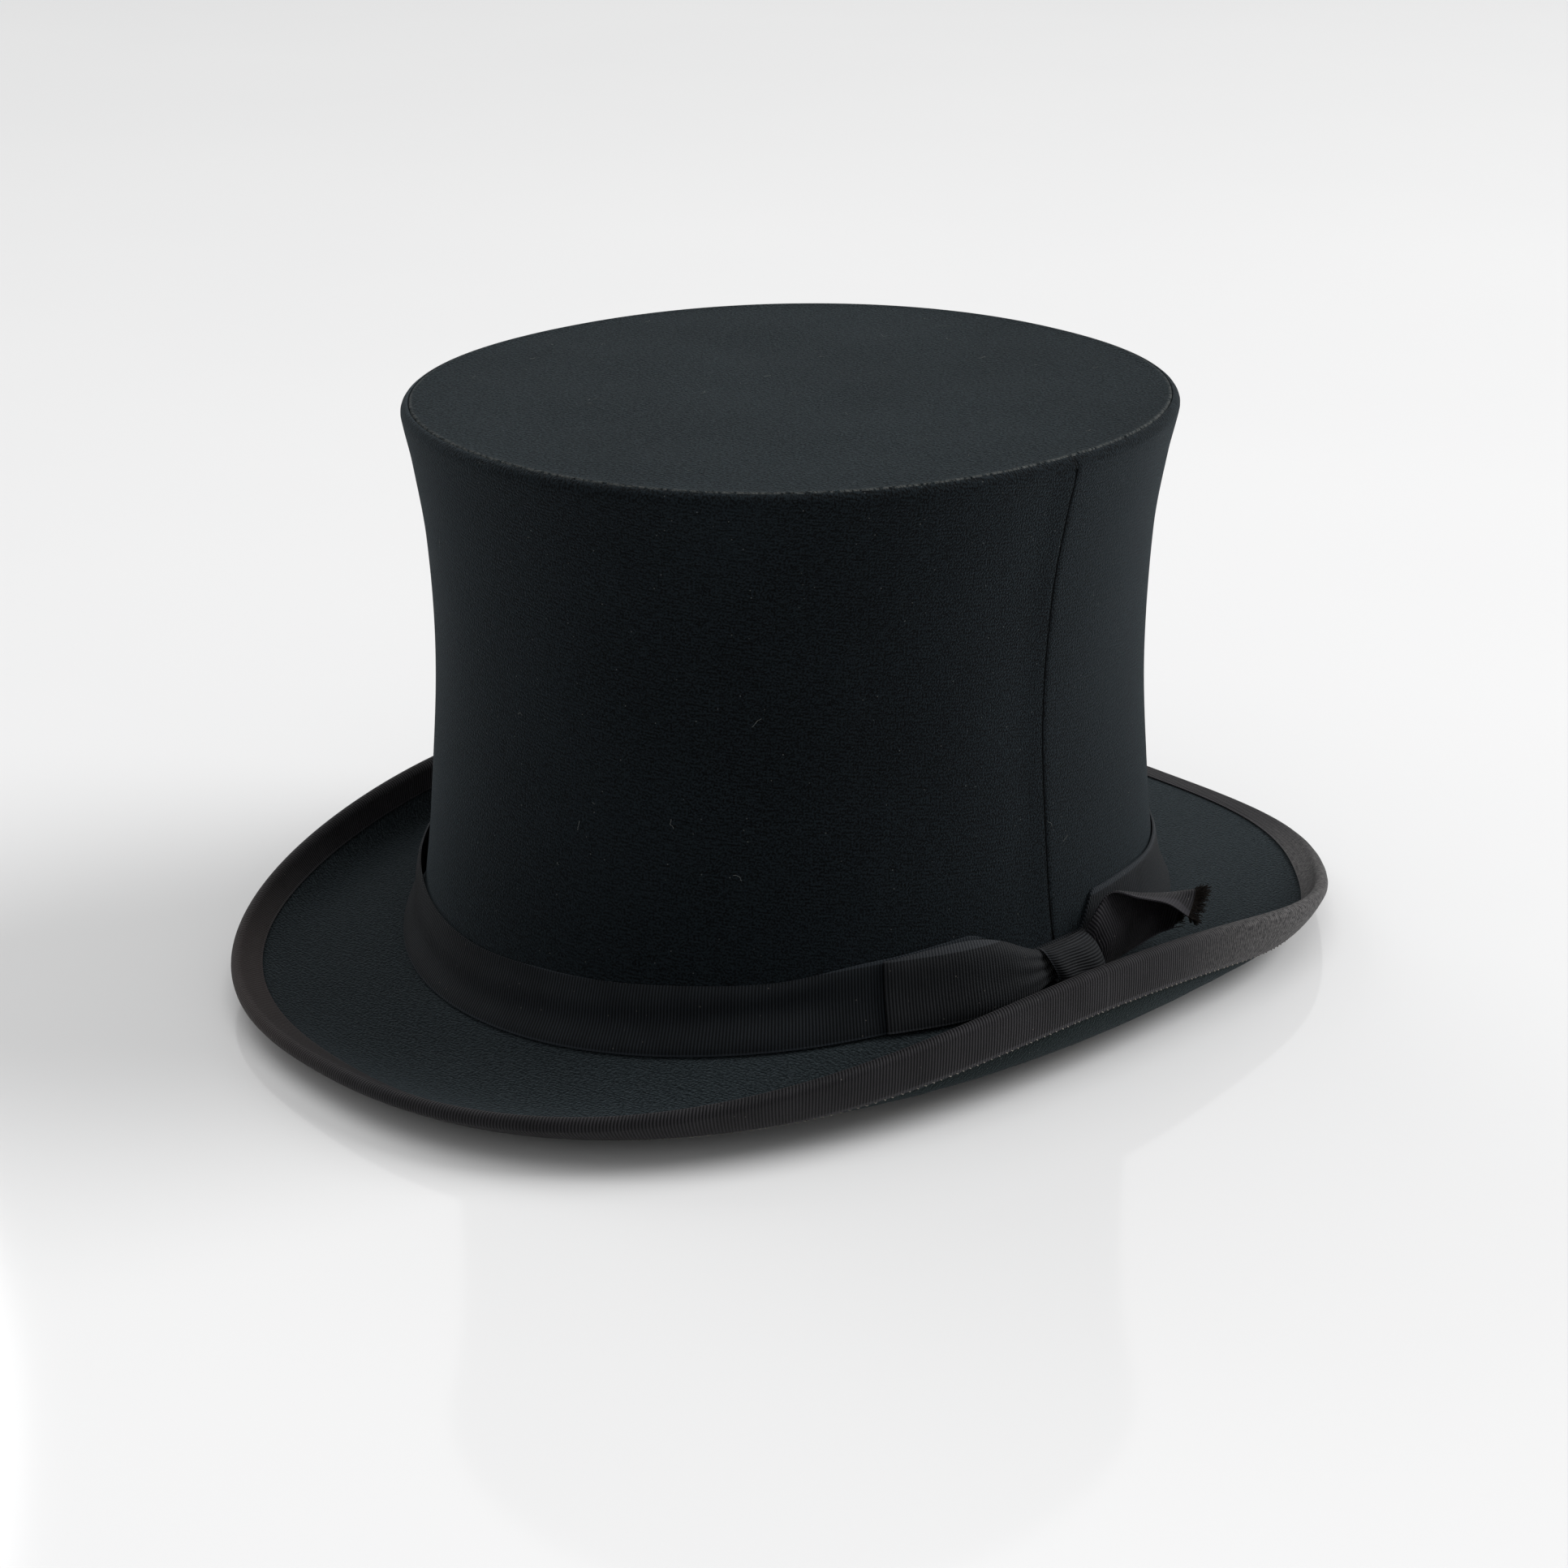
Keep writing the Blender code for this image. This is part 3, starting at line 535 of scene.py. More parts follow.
def steel(name, colour, tint, low, high):
    """Drawn steel with fine scratches along it and tarnish in patches."""
    made = Finish(name, Metallic=1.0, Specular_IOR_Level=0.5)
    place = made.place()
    x, y, z = made.parts(place)[0:3]
    stretched = made.vector(made.scaled(x, 2600.0), made.scaled(y, 2600.0), made.scaled(z, 90.0))
    scratches = made.noise(stretched, 1.0, 3.0, 0.6)
    tarnish = made.step(made.noise(place, 160.0, 4.0, 0.65), 0.46, 0.68)
    shade = made.blend(tarnish, colour, tint)
    shade = made.blend(made.step(scratches, 0.62, 0.72), shade, tuple(min(1.0, c * 2.2) for c in colour))
    rough = made.math("ADD", made.scaled(tarnish, high - low, low), made.scaled(scratches, 0.12, -0.06))
    return made.finish(shade, rough, scratches, distance=0.00004, strength=0.5)


def grainy(name, dark, light, scale, rough, distance=0.0001, specular=0.3):
    """Card, cane or thread: two tones through a fine grain."""
    made = Finish(name, Specular_IOR_Level=specular)
    place = made.place()
    grain = made.noise(place, scale, 3.0, 0.65)
    patches = made.noise(place, scale / 25, 2.0)
    share = made.math("ADD", made.step(grain, 0.3, 0.7), made.scaled(patches, 0.6, -0.3))
    return made.finish(made.blend(share, dark, light), made.scaled(grain, 0.2, rough - 0.1), grain, distance)


def make_finishes():
    fade = ((-0.050, -0.140, 0.006), 0.075, (0.034, 0.025, 0.023))
    # worn: rubbed wear at the binding's back left, with a painted highlight where the back-right lamp falls.
    worn = ((0.088, 0.090, 0.014), 0.078, (0.110, 0.106, 0.105))
    return {
        "side": cloth(
            "side_cloth", (0.0002, 0.0004, 0.0006), (0.0072, 0.0108, 0.0135), 0.096, seam_round=UV_ROUND
        ),
        "tip": cloth(
            "tip_cloth_finish",
            (0.0030, 0.0048, 0.0060),
            (0.0200, 0.0270, 0.0305),
            0.042,
            20.0,
            1500.0,
            0.0014,
            worn_edge=0.0011,
        ),
        "brim": cloth(
            "brim_cloth", (0.0016, 0.0032, 0.0040), (0.0130, 0.0175, 0.0195), 0.10, 12.0, 1400.0, 0.0009
        ),
        "under": cloth("under_cloth_finish", (0.0022, 0.0042, 0.0042), (0.0085, 0.0130, 0.0125), 0.08, 30.0),
        "band": ribbon("band_ribbon", BAND_HEIGHT),
        "binding": ribbon(
            "binding_ribbon", BINDING_WIDTH, fade, (0.026, 0.025, 0.028), (0.0014, 0.0014, 0.0018), worn
        ),
        "bow": ribbon("bow_ribbon", BAND_HEIGHT, None, (0.021, 0.023, 0.026), (0.0020, 0.0024, 0.0030)),
        "tail": ribbon("tail_ribbon", 0.0240, None, (0.019, 0.018, 0.021), (0.0036, 0.0036, 0.0046)),
        "satin": satin("lining_satin"),
        "leather": leather("sweatband_leather"),
        "blued": steel("blued_steel_finish", (0.055, 0.062, 0.078), (0.09, 0.065, 0.045), 0.28, 0.48),
        "plated": steel("plated_steel_finish", (0.56, 0.53, 0.47), (0.26, 0.20, 0.13), 0.22, 0.46),
        "board": grainy("card", (0.13, 0.085, 0.045), (0.24, 0.17, 0.10), 900.0, 0.85),
        "reed": grainy("cane", (0.30, 0.20, 0.09), (0.50, 0.38, 0.20), 1400.0, 0.6),
        "stitch": grainy("pale_thread", (0.10, 0.095, 0.085), (0.30, 0.28, 0.25), 6000.0, 0.8),
        "dark_thread": grainy(
            "dark_thread", (0.0020, 0.0015, 0.0012), (0.0110, 0.0085, 0.0070), 6000.0, 0.8, specular=0.08
        ),
        # Painted shade: near-black and almost without shine, for the shadow in the seam's groove.
        "seam": grainy(
            "seam_painted_shade", (0.0003, 0.0005, 0.0006), (0.0028, 0.0038, 0.0044), 5000.0, 0.9, specular=0.04
        ),
        "lint": grainy("lint", (0.04, 0.045, 0.045), (0.16, 0.17, 0.165), 3000.0, 0.9),
    }


# ---- brim ----


def brim_uv(angles, backs):
    """The brim's cloth laid flat: each point at its true distance out from where the crown starts."""
    out = 0.090 + backs[..., 1] - backs[..., 0]
    grid = np.stack([out * np.cos(angles)[:, None], out * np.sin(angles)[:, None]], axis=-1)
    return wrapped(grid)


def brim_sheet(name, low, high, finish, fixed, last=1.0):
    angles = turns()
    points, normals, backs = brim_places(angles, fixed, 16, last)
    outer = brim_offset(angles, points, normals, high)
    inner = brim_offset(angles, points, normals, low)
    return shell(name, outer, inner, brim_uv(angles, backs), finish)


def make_brim(finishes):
    half = BOARD / 2
    skin = half + BRIM_GAP
    rows = np.array([0, 0.003, 0.006, 0.009, 0.012])
    board = brim_sheet("brim_card", -half, half, finishes["board"], rows)
    top = brim_sheet("brim_upper_cloth", skin, skin + BRIM_CLOTH, finishes["brim"], rows)
    under = brim_sheet("brim_lower_cloth", -skin - BRIM_CLOTH, -skin, finishes["under"], rows)
    for piece, node, slot in (
        (board, "brim_board", "stiffener"),
        (top, "brim_top_cloth", "crown_cloth"),
        (under, "brim_under_cloth", "under_cloth"),
    ):
        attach(piece, "base")
        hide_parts(node)


def make_binding(finishes):
    face = BOARD / 2 + BRIM_GAP + BRIM_CLOTH + BRIM_GAP
    angles = turns()
    above = np.linspace(BINDING_TOP, 0, 9)
    under = np.linspace(0, BINDING_UNDER, 12)
    upper, upper_normal, _ = brim_places(angles, above[::-1])
    upper, upper_normal = upper[:, ::-1], upper_normal[:, ::-1]
    lower, lower_normal, _ = brim_places(angles, under)
    end, normal = lower[:, :1], lower_normal[:, :1]
    outwards = np.stack([normal[..., 1], -normal[..., 0]], axis=-1)
    bends = np.radians(np.linspace(75, -75, 7))[None, :, None]

    def path(offset, edge):
        """The section at this offset. Its two edges are pressed in by edge."""
        press = np.zeros(len(above))
        press[:2] = (edge, edge * 0.3)
        top = upper + upper_normal * (offset - press)[None, :, None]
        bend = end + normal * offset * np.sin(bends) + outwards * offset * np.cos(bends)
        press = np.zeros(len(under))
        press[-2:] = (edge * 0.3, edge)
        low = lower - lower_normal * (offset - press)[None, :, None]
        grid = np.concatenate([top, bend, low], axis=1)
        return polar(grid[..., 0], angles[:, None], grid[..., 1])

    outer = path(face + BINDING, 0.00020)
    inner = path(face, 0)
    piece = shell("brim_edge_ribbon", outer, inner, metre_uv(outer), finishes["binding"])
    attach(piece, "base")
    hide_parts("brim_binding")
    make_binding_stitches(finishes, face)


def make_binding_stitches(finishes, face):
    """Small slip stitches that hold the binding's lower edge to the cloth."""
    chance = random.Random(4)
    count = 380
    paths = []
    for i in range(count):
        angle = 2 * math.pi * (i + chance.uniform(-0.2, 0.2)) / count
        reach = chance.uniform(0.0006, 0.0011) / 0.13
        spots = [angle, angle + reach / 2, angle + reach]
        backs = np.array([BINDING_UNDER - 0.0004, BINDING_UNDER - 0.0001, BINDING_UNDER + 0.0003])
        heights = (face + BINDING - 0.0001, face + BINDING + 0.00002, face - BRIM_GAP + 0.0001)
        path = []
        for spot, back, height in zip(spots, backs, heights):
            point, normal, _ = brim_places([spot], [back])
            moved = point[0, 0] - normal[0, 0] * height
            path.append(polar(moved[0], spot, moved[1]))
        paths.append(path)
    piece = strands("binding_stitches", paths, 0.00011, finishes["stitch"])
    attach(piece, "base")


# ---- crown ----


def side_angles():
    """Offsets round the hat from the seam, closer together beside it."""
    near = np.array([0.03, 0.1, 0.2, 0.35, 0.6, 1.0, 1.6, 2.5])
    far = np.linspace(3.5, 356.5, STEPS)
    return np.radians(np.concatenate([near, far, 360 - near[::-1] + 0.01]))


def ripples(angle, z):
    """The slight unevenness of cloth that is held only at its rings."""
    window = np.sin(np.pi * ramp(z, 0.032, 0.140)) ** 2
    waves = 0.00016 * np.sin(3 * angle + 42 * z + 0.6) + 0.00011 * np.sin(7 * angle - 55 * z)
    return window * (waves + 0.00007 * np.sin(13 * angle + 30 * z + 2))


def make_side_cloth(finishes):
    offsets = side_angles()
    lower, middle, upper = (np.linspace(0, 1, count) for count in (12, 56, 10))
    around = np.radians(along(SEAM, np.array([0.5]))[0, 0]) + offsets
    bottom = join_z(around)[:, None] + 0.0003
    straight = TIP_Z - EDGE_ROUND
    turn = np.radians((15, 32, 50, 68, 84))
    above = (
        mix(FOLD_LOW_Z, FOLD_HIGH_Z, middle[1:]),
        mix(FOLD_HIGH_Z, straight, upper[1:]),
        straight + EDGE_ROUND * np.sin(turn),
    )
    above = np.tile(np.concatenate(above), (len(around), 1))
    z = np.concatenate([mix(bottom, FOLD_LOW_Z, lower), above], axis=1)
    inset = np.zeros(z.shape[1])
    inset[-len(turn) :] = (TIP_INSET - 0.0001) * (1 - np.cos(turn))
    share = (z - bottom) / (TIP_Z - bottom)
    angle = np.radians(along(SEAM, share)[..., 0]) + offsets[:, None]
    base = polar(crown_radius(angle, z) - inset, angle, z)
    normals = grid_normals(base)
    from_seam = signed(offsets) * WAIST_RADIUS
    lap = np.where(from_seam < 0, 0.0007 * bell(from_seam, 0.0045), -0.0006 * bell(from_seam, 0.0010))
    lap = lap[:, None] * (1 - 0.7 * smooth(z, straight - 0.002, TIP_Z))
    outer = base + normals * (lap + ripples(angle, z))[..., None]
    inner = base - normals * CLOTH
    around_flat = np.append(offsets, 2 * math.pi)[:, None] * UV_RADIUS
    uv = np.stack(np.broadcast_arrays(around_flat, wrapped(z)), axis=-1)
    facing = grid_normals(outer)
    ends = (0, len(lower), len(lower) + len(middle) - 1, z.shape[1])
    pieces = []
    for name, low, high in zip(("side_cloth_low", "side_cloth_fold", "side_cloth_top"), ends, ends[1:]):
        rows = slice(max(low - 1, 0), high)
        args = (outer[:, rows], inner[:, rows], uv[:, rows], finishes["side"])
        pieces.append(shell(name, *args, normals=facing[:, rows]))
    place_wall_pieces(pieces, ("crown_side_cloth",))


# Painted shade along the seam, drawn as a near-black strand.
def make_seam(finishes):
    """A near-black strand along the seam's lapped edge, painted shade standing in for the shadow in its
    groove, in the same three zones as the cloth.
    """
    zones = (
        ("seam_low", JOIN_Z + 0.0006, FOLD_LOW_Z, 3),
        ("seam_fold", FOLD_LOW_Z, FOLD_HIGH_Z, 40),
        ("seam_top", FOLD_HIGH_Z, TIP_Z - 0.0024, 8),
    )
    for name, low, high, rows in zones:
        z = np.linspace(low, high, rows)
        angle = np.radians(along(SEAM, (z - JOIN_Z) / (TIP_Z - JOIN_Z))[..., 0] - 0.10)
        radius = crown_radius(angle, z) + 0.0006 + ripples(angle, z)
        piece = strands(name, [polar(radius, angle, z)], 0.00023, finishes["seam"], sides=2)
        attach(piece, "crown_top" if name == "seam_top" else "base")
        if name == "seam_fold":
            crumple(piece)


def crumple(piece):
    """Gives the piece a mesh of its own."""
    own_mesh(piece)


def place_wall_pieces(pieces, nodes):
    """The low and middle pieces stay on the brim, and the top one moves with the tip."""
    low, fold, top = pieces
    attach(low, "base")
    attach(fold, "base")
    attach(top, "crown_top")
    crumple(fold)
    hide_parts(*nodes)


def make_tip(finishes):
    """The flat of the tip, with its turned edge, and the satin under it."""
    angles = turns()
    edge = crown_radius(angles, TIP_Z)[:, None] - TIP_INSET
    inset = np.array([0.00002, 0.00012, 0.0004, 0.0009, 0.0016, 0.0026])
    lift = np.array([-0.0003, 0.00005, 0.00022, 0.00024, 0.00012, 0.0])
    rest = np.linspace(0.96, 0, 30)
    radius = np.concatenate([edge - inset, (edge - inset[-1]) * rest], axis=1)
    rise = np.concatenate([lift, np.zeros(len(rest))])
    x, y = radius * np.cos(angles)[:, None], radius * np.sin(angles)[:, None]
    fade = ramp(edge - radius, 0, 0.02)
    waves = 0.00013 * np.sin(95 * x + 40 * y + 1) + 0.0001 * np.sin(130 * y - 60 * x)
    waves = waves + 0.00006 * np.sin(210 * x)
    z = TIP_Z + rise + waves * fade
    top = np.stack([x, y, z], axis=-1)[:, ::-1]
    under = np.stack([x, y, np.broadcast_to(TIP_Z - 0.0008, x.shape)], axis=-1)[:, ::-1]
    flat = wrapped(top[..., :2])
    piece = shell("tip_flat", top, under, flat, finishes["tip"])
    merge_centre(piece)
    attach(piece, "crown_top")
    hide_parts("tip_cloth")
    low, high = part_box("tip_lining")
    edge = crown_radius(angles, TIP_Z)[:, None] - 0.0036
    shares = np.linspace(0, 1, 24)[None, :]
    gathers = 0.00012 * np.sin(60 * angles)[:, None] * shares**2
    face = polar(edge * shares, angles[:, None], low.z - gathers - 0.0001)
    back = polar(edge * shares, angles[:, None], high.z - 0.00005)
    lining = shell("tip_satin", face, back, wrapped(face[..., :2]), finishes["satin"])
    merge_centre(lining)
    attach(lining, "crown_top")
    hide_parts("tip_lining")


def merge_centre(piece):
    """Joins the points that meet at the middle of a disc, and marks how far each point is from the edge."""
    shape = bmesh.new()
    shape.from_mesh(piece.data)
    bmesh.ops.remove_doubles(shape, verts=shape.verts, dist=1e-6)
    layer = shape.loops.layers.uv.new("edge")
    for face in shape.faces:
        for loop in face.loops:
            x, y, _ = loop.vert.co
            rim = float(crown_radius(math.atan2(y, x), TIP_Z)) - TIP_INSET
            loop[layer].uv = (rim - math.hypot(x, y), 0)
    shape.to_mesh(piece.data)
    shape.free()


def make_lining(finishes):
    """Four satin gores between the ribs, each in the same three zones as the side cloth."""
    zones = (
        ("lining_low", LINING_LOW_Z, FOLD_LOW_Z, 5),
        ("lining_fold", FOLD_LOW_Z, FOLD_HIGH_Z, 30),
        ("lining_top", FOLD_HIGH_Z, LINING_HIGH_Z, 6),
    )
    pieces = []
    for name, low, high, rows in zones:
        gores = []
        for i in range(4):
            span = np.radians(np.linspace(i * 90 + 5, i * 90 + 85, 61))
            z = np.linspace(low, high, rows)[None, :]
            window = np.sin(np.pi * ramp(z, 0.031, 0.137))
            pleats = 0.00035 * (0.5 + 0.5 * np.sin(32 * span[:, None])) * window
            radius = crown_radius(span[:, None], z) - LINING_OUT - pleats
            face = polar(radius - LINING, span[:, None], z)
            back = polar(radius, span[:, None], z)
            uv = metre_uv(face, False)
            gores.append(shell(f"{name}_{i}", back, face, uv, finishes["satin"], wrap=False))
        pieces.append(joined(name, gores))
    place_wall_pieces(pieces, [f"lining_gore_{i + 1}" for i in range(4)])


def joined(name, parts):
    """Several meshes with one material as one piece."""
    shape = bmesh.new()
    for part in parts:
        shape.from_mesh(part.data)
    mesh = bpy.data.meshes.new(name)
    shape.to_mesh(mesh)
    shape.free()
    finish = parts[0].data.materials[0]
    for part in parts:
        bpy.data.objects.remove(part)
    return finished(name, mesh, finish)


def make_sweatband(finishes):
    """The leather band, with its joint at the back, on its reed."""
    angles = turns()
    shares = np.linspace(0, 1, 14)[None, :]
    low = join_z(angles)[:, None] - 0.0010
    z = mix(low, SWEAT_TOP_Z, shares)
    joint = np.degrees(signed(angles - math.pi / 2))[:, None]
    lap = np.where(joint < 0, 0.0004 * bell(joint, 4.0), 0)
    wave = 0.0003 * np.sin(9 * angles + 1)[:, None] * shares**2
    round_edge = 0.0004 * ramp(shares, 0.9, 1) ** 2
    outer = crown_radius(angles[:, None], z) - SWEAT_OUT - round_edge - np.maximum(wave, 0)
    inner = crown_radius(angles[:, None], z) - SWEAT_OUT - SWEAT + round_edge - lap - np.maximum(wave, 0)
    out_grid, in_grid = (polar(radius, angles[:, None], z) for radius in (outer, inner))
    band = shell("leather_band", out_grid, in_grid, metre_uv(in_grid), finishes["leather"])
    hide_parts("sweatband")
    middle = crown_radius(angles, join_z(angles)) - SWEAT_OUT - SWEAT / 2
    line = polar(middle, angles, join_z(angles) - 0.0021)
    reed = strands("reed_edge", [line], REED_RADIUS, finishes["reed"], cyclic=True, sides=3)
    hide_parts("sweatband_reed")
    stitches = []
    count = 190
    for i in range(count):
        angle = 2 * math.pi * i / count
        path = []
        for turn, rise, depth in ((0, 0.0016, 0.0004), (0.5, 0.0002, 0.0007), (1, -0.0020, 0.0005)):
            spot = angle + turn * 0.7 * math.pi / count
            join = float(join_z(spot))
            radius = float(crown_radius(spot, join)) - SWEAT_OUT - SWEAT - depth + 0.0003
            path.append(polar(radius, spot, join + rise))
        stitches.append(path)
    thread = strands("sweatband_stitches", stitches, THREAD, finishes["stitch"])
    for piece in (band, reed, thread):
        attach(piece, "base")


# ---- hat band and bow ----


def band_shift(angles, share):
    """The band stands off the crown at the front right, bulges a little, and is shrunk at the front left."""
    degrees = np.degrees(signed(angles))
    side = signed(angles - math.radians(232))
    stand = 0.0013 * bell(side, math.radians(38)) * share
    wave = 0.00022 * np.sin(11 * angles + 0.7) * share
    front = smooth(degrees, -28.0, -44.0) * smooth(degrees, -150.0, -105.0)
    folds = 0.00030 * np.sin(2 * math.pi * 1.7 * share + 1.5 * np.sin(3 * angles)) * front
    bulge = 0.0009 * (1 - share) ** 2 * front
    drop = (0.00030 * np.sin(5 * angles + 1.1) + 0.00012 * np.sin(17 * angles) - 0.0023 * front) * share
    return stand + wave + folds + bulge, drop


def band_tall(angles):
    """Height of the band as a share of its full height: it is gathered in under the bow's knot."""
    turn = np.degrees(signed(angles))
    return 1 - 0.47 * smooth(turn, -13.5, -2.0) * smooth(turn, 15.0, 9.5)


def make_band(finishes):
    angles = turns(STEPS * 2)[:, None]
    shares = np.linspace(0, 1, 15)[None, :]
    radius, z = band_face(angles, shares * band_tall(angles))
    out, drop = band_shift(angles, shares)
    thin = 0.00025 * (ramp(shares, 0.93, 1) + ramp(shares, 0.07, 0))
    outer = polar(radius + out + BAND - thin, angles, z + drop)
    inner = polar(radius + out, angles, z + drop)
    piece = shell("ribbon_band", outer, inner, metre_uv(outer), finishes["band"])
    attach(piece, "base")
    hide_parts("hat_band")


def on_band(degrees, share, lift):
    """A point on the outside of the band, lifted off it."""
    angle = np.radians(degrees)
    radius, z = band_face(angle, share)
    return polar(radius + BAND + 0.0003 + lift, angle, z)


def ribbon_piece(name, grid, finish, thickness=0.00035):
    """A ribbon through a grid of points that runs along it and then across it."""
    normals = grid_normals(grid, wrap=False)
    half = thickness / 2
    outer, inner = grid + normals * half, grid - normals * half
    return shell(name, outer, inner, metre_uv(grid, False), finish, wrap=False)


def make_front_loop(finishes):
    """A loop of ribbon, flattened on the band. It is gathered where it goes under the knot."""
    # Share of its length, degrees round the hat, lift, and its lower and upper edge as shares of the band.
    stations = (
        (0.00, 1.6, 0.0014, 0.13, 0.50),
        (0.07, -0.8, 0.0026, 0.11, 0.55),
        (0.14, -4.0, 0.0040, 0.06, 0.68),
        (0.24, -8.8, 0.0048, 0.01, 0.91),
        (0.33, -13.5, 0.0043, 0.00, 1.03),
        (0.40, -18.5, 0.0031, 0.00, 1.04),
        (0.46, -23.2, 0.0019, 0.01, 1.01),
        (0.51, -26.9, 0.0011, 0.02, 0.98),
        (0.525, -27.5, 0.0006, 0.02, 0.97),
        (0.54, -26.9, 0.0003, 0.02, 0.97),
        (0.65, -19.0, 0.0002, 0.03, 0.96),
        (0.85, -6.0, 0.0002, 0.09, 0.66),
        (1.00, 1.6, 0.0002, 0.17, 0.48),
    )
    share = np.sort(np.concatenate([np.linspace(0, 1, 90), np.linspace(0.50, 0.55, 14)]))
    found = along(stations, share)[:, None, :]
    across = np.linspace(0, 1, 23)[None, :]
    degrees, lift, low, high = (found[..., k] for k in range(4))
    crowned = 1 - 0.45 * (2 * across - 1) ** 4
    near_knot = bell(degrees - 1.0, 6.5)
    gathers = 0.00028 * near_knot * np.sin(2 * math.pi * across * 3.5 + 0.6) * (lift > 0.0009)
    lift = np.maximum(lift * crowned + gathers, 0.0002)
    grid = on_band(degrees, mix(low, high, across), lift)
    piece = ribbon_piece("bow_loop", grid, finishes["bow"])
    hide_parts("bow_front_loop")
    return piece


def make_knot(finishes):
    """The ribbon wrapped over the middle of the bow. It runs up and down, so its ribs are level."""
    # Share round it, share of its own height, and lift.
    section = (
        (0.00, 0.08, 0.0003),
        (0.10, 0.00, 0.0020),
        (0.25, 0.08, 0.0044),
        (0.50, 0.50, 0.0056),
        (0.75, 0.92, 0.0045),
        (0.90, 1.00, 0.0021),
        (1.00, 0.90, 0.0003),
    )
    share = np.linspace(0, 1, 46)
    rise, lift = np.moveaxis(along(section, share)[:, None, :], -1, 0)
    across = np.linspace(0, 1, 30)[None, :]
    degrees = mix(mix(0.9, -0.9, rise), 10.7 - 1.7 * rise**2, across)
    low, high = mix(0.11, 0.00, across), mix(0.565, 0.595, across)
    bulge = 1 - 0.30 * (2 * across - 1) ** 6
    fold = 0.0003 * np.sin(across * 9 + 3.5 * share[:, None]) * np.sin(math.pi * share[:, None])
    grid = on_band(degrees, mix(low, high, rise), lift * bulge + fold)
    piece = ribbon_piece("bow_centre", grid, finishes["bow"], 0.0005)
    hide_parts("bow_knot")
    return piece


def make_tail(finishes):
    """The free end of the ribbon: it fans out of the knot, and its upper edge turns outwards into a lip."""
    # Each row runs up the ribbon at one station: radius, degrees and height in millimetres and degrees.
    stations = (
        (
            (93.8, 10.2, 14.6), (94.8, 10.0, 16.4), (95.2, 9.6, 18.6),
            (95.2, 9.2, 20.8), (94.8, 8.8, 22.8), (94.0, 8.4, 24.0),
        ),
        (
            (94.2, 12.8, 13.2), (96.3, 12.5, 16.4), (97.0, 12.0, 20.2),
            (96.9, 11.2, 24.0), (95.8, 10.2, 27.4), (95.0, 9.7, 29.0),
        ),
        (
            (94.6, 15.9, 12.9), (97.0, 15.8, 16.8), (97.6, 15.6, 21.8),
            (96.8, 15.1, 27.2), (95.4, 14.0, 32.2), (96.2, 13.0, 33.6),
        ),
        (
            (95.8, 20.4, 13.2), (97.4, 20.9, 17.2), (97.5, 21.2, 21.8),
            (97.4, 21.2, 26.2), (98.6, 20.0, 29.6), (101.2, 15.8, 31.7),
        ),
        (
            (99.4, 25.2, 14.6), (99.6, 26.2, 18.0), (100.0, 26.6, 21.8),
            (101.6, 26.2, 25.6), (105.0, 23.6, 28.4), (106.4, 18.9, 29.2),
        ),
        (
            (103.6, 26.4, 16.6), (104.4, 27.4, 19.6), (105.2, 27.8, 23.0),
            (107.0, 27.0, 26.6), (109.8, 24.6, 28.9), (110.2, 21.3, 24.8),
        ),
    )
    rows = np.array(stations)
    knots = np.linspace(0, 1, len(rows))
    columns = np.linspace(0, 1, rows.shape[1])
    share = np.linspace(0, 1, 56)
    table = np.column_stack([knots, rows.reshape(len(rows), -1)])
    along_rows = along(table, share).reshape(len(share), -1, 3)
    across = np.linspace(0, 1, 34)
    grid = np.array([along(np.column_stack([columns, row]), across) for row in along_rows])
    radius, angle, z = grid[..., 0] / 1000, np.radians(grid[..., 1]), grid[..., 2] / 1000
    creases = 0.0003 * np.sin(across * 17 + 0.5)[None, :] * bell(share - 0.05, 0.3)[:, None]
    points = polar(radius + creases, angle, z)
    piece = ribbon_piece("bow_tail", points, finishes["tail"])
    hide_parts("bow_rear_loop")
    return piece, points


def make_fray(finishes, grid):
    """Loose threads at the cut end of the ribbon."""
    chance = random.Random(11)
    end, before = grid[-1], grid[-3]
    paths = []
    for _ in range(640):
        k = int(len(end) * chance.random() ** 0.55)
        spot = end[k] + (end[min(k + 1, len(end) - 1)] - end[k]) * chance.random()
        outwards = end[k] - before[k]
        outwards /= np.linalg.norm(outwards)
        length = chance.uniform(0.0010, 0.0024 + 0.0016 * k / len(end))
        side = np.array([chance.gauss(0, 1) for _ in range(3)])
        bend = np.array([chance.gauss(0, 1) for _ in range(3)])
        path = [spot - outwards * 0.0004]
        for t in (0.25, 0.5, 0.75, 1.0):
            path.append(spot + outwards * length * t + side * 0.00022 * t + bend * 0.00042 * t * t)
        paths.append(path)
    return strands("bow_fray", paths, 0.00010, finishes["dark_thread"])


def make_bow(finishes):
    tail, grid = make_tail(finishes)
    pieces = [make_front_loop(finishes), make_knot(finishes), tail, make_fray(finishes, grid)]
    for piece in pieces:
        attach(piece, "base")


# ---- lint ----


def hair(chance, at, size, turn):
    """A short curled fibre that lies on a surface. At gives a point from two lengths along the surface."""
    u, v = chance.uniform(-1, 1), chance.uniform(-1, 1)
    heading = chance.uniform(0, 2 * math.pi)
    path = []
    x = y = 0.0
    for k in range(8):
        path.append((u, v, x, y))
        heading += chance.uniform(-turn, turn)
        x += size / 7 * math.cos(heading)
        y += size / 7 * math.sin(heading)
    return [at(*spot) for spot in path]


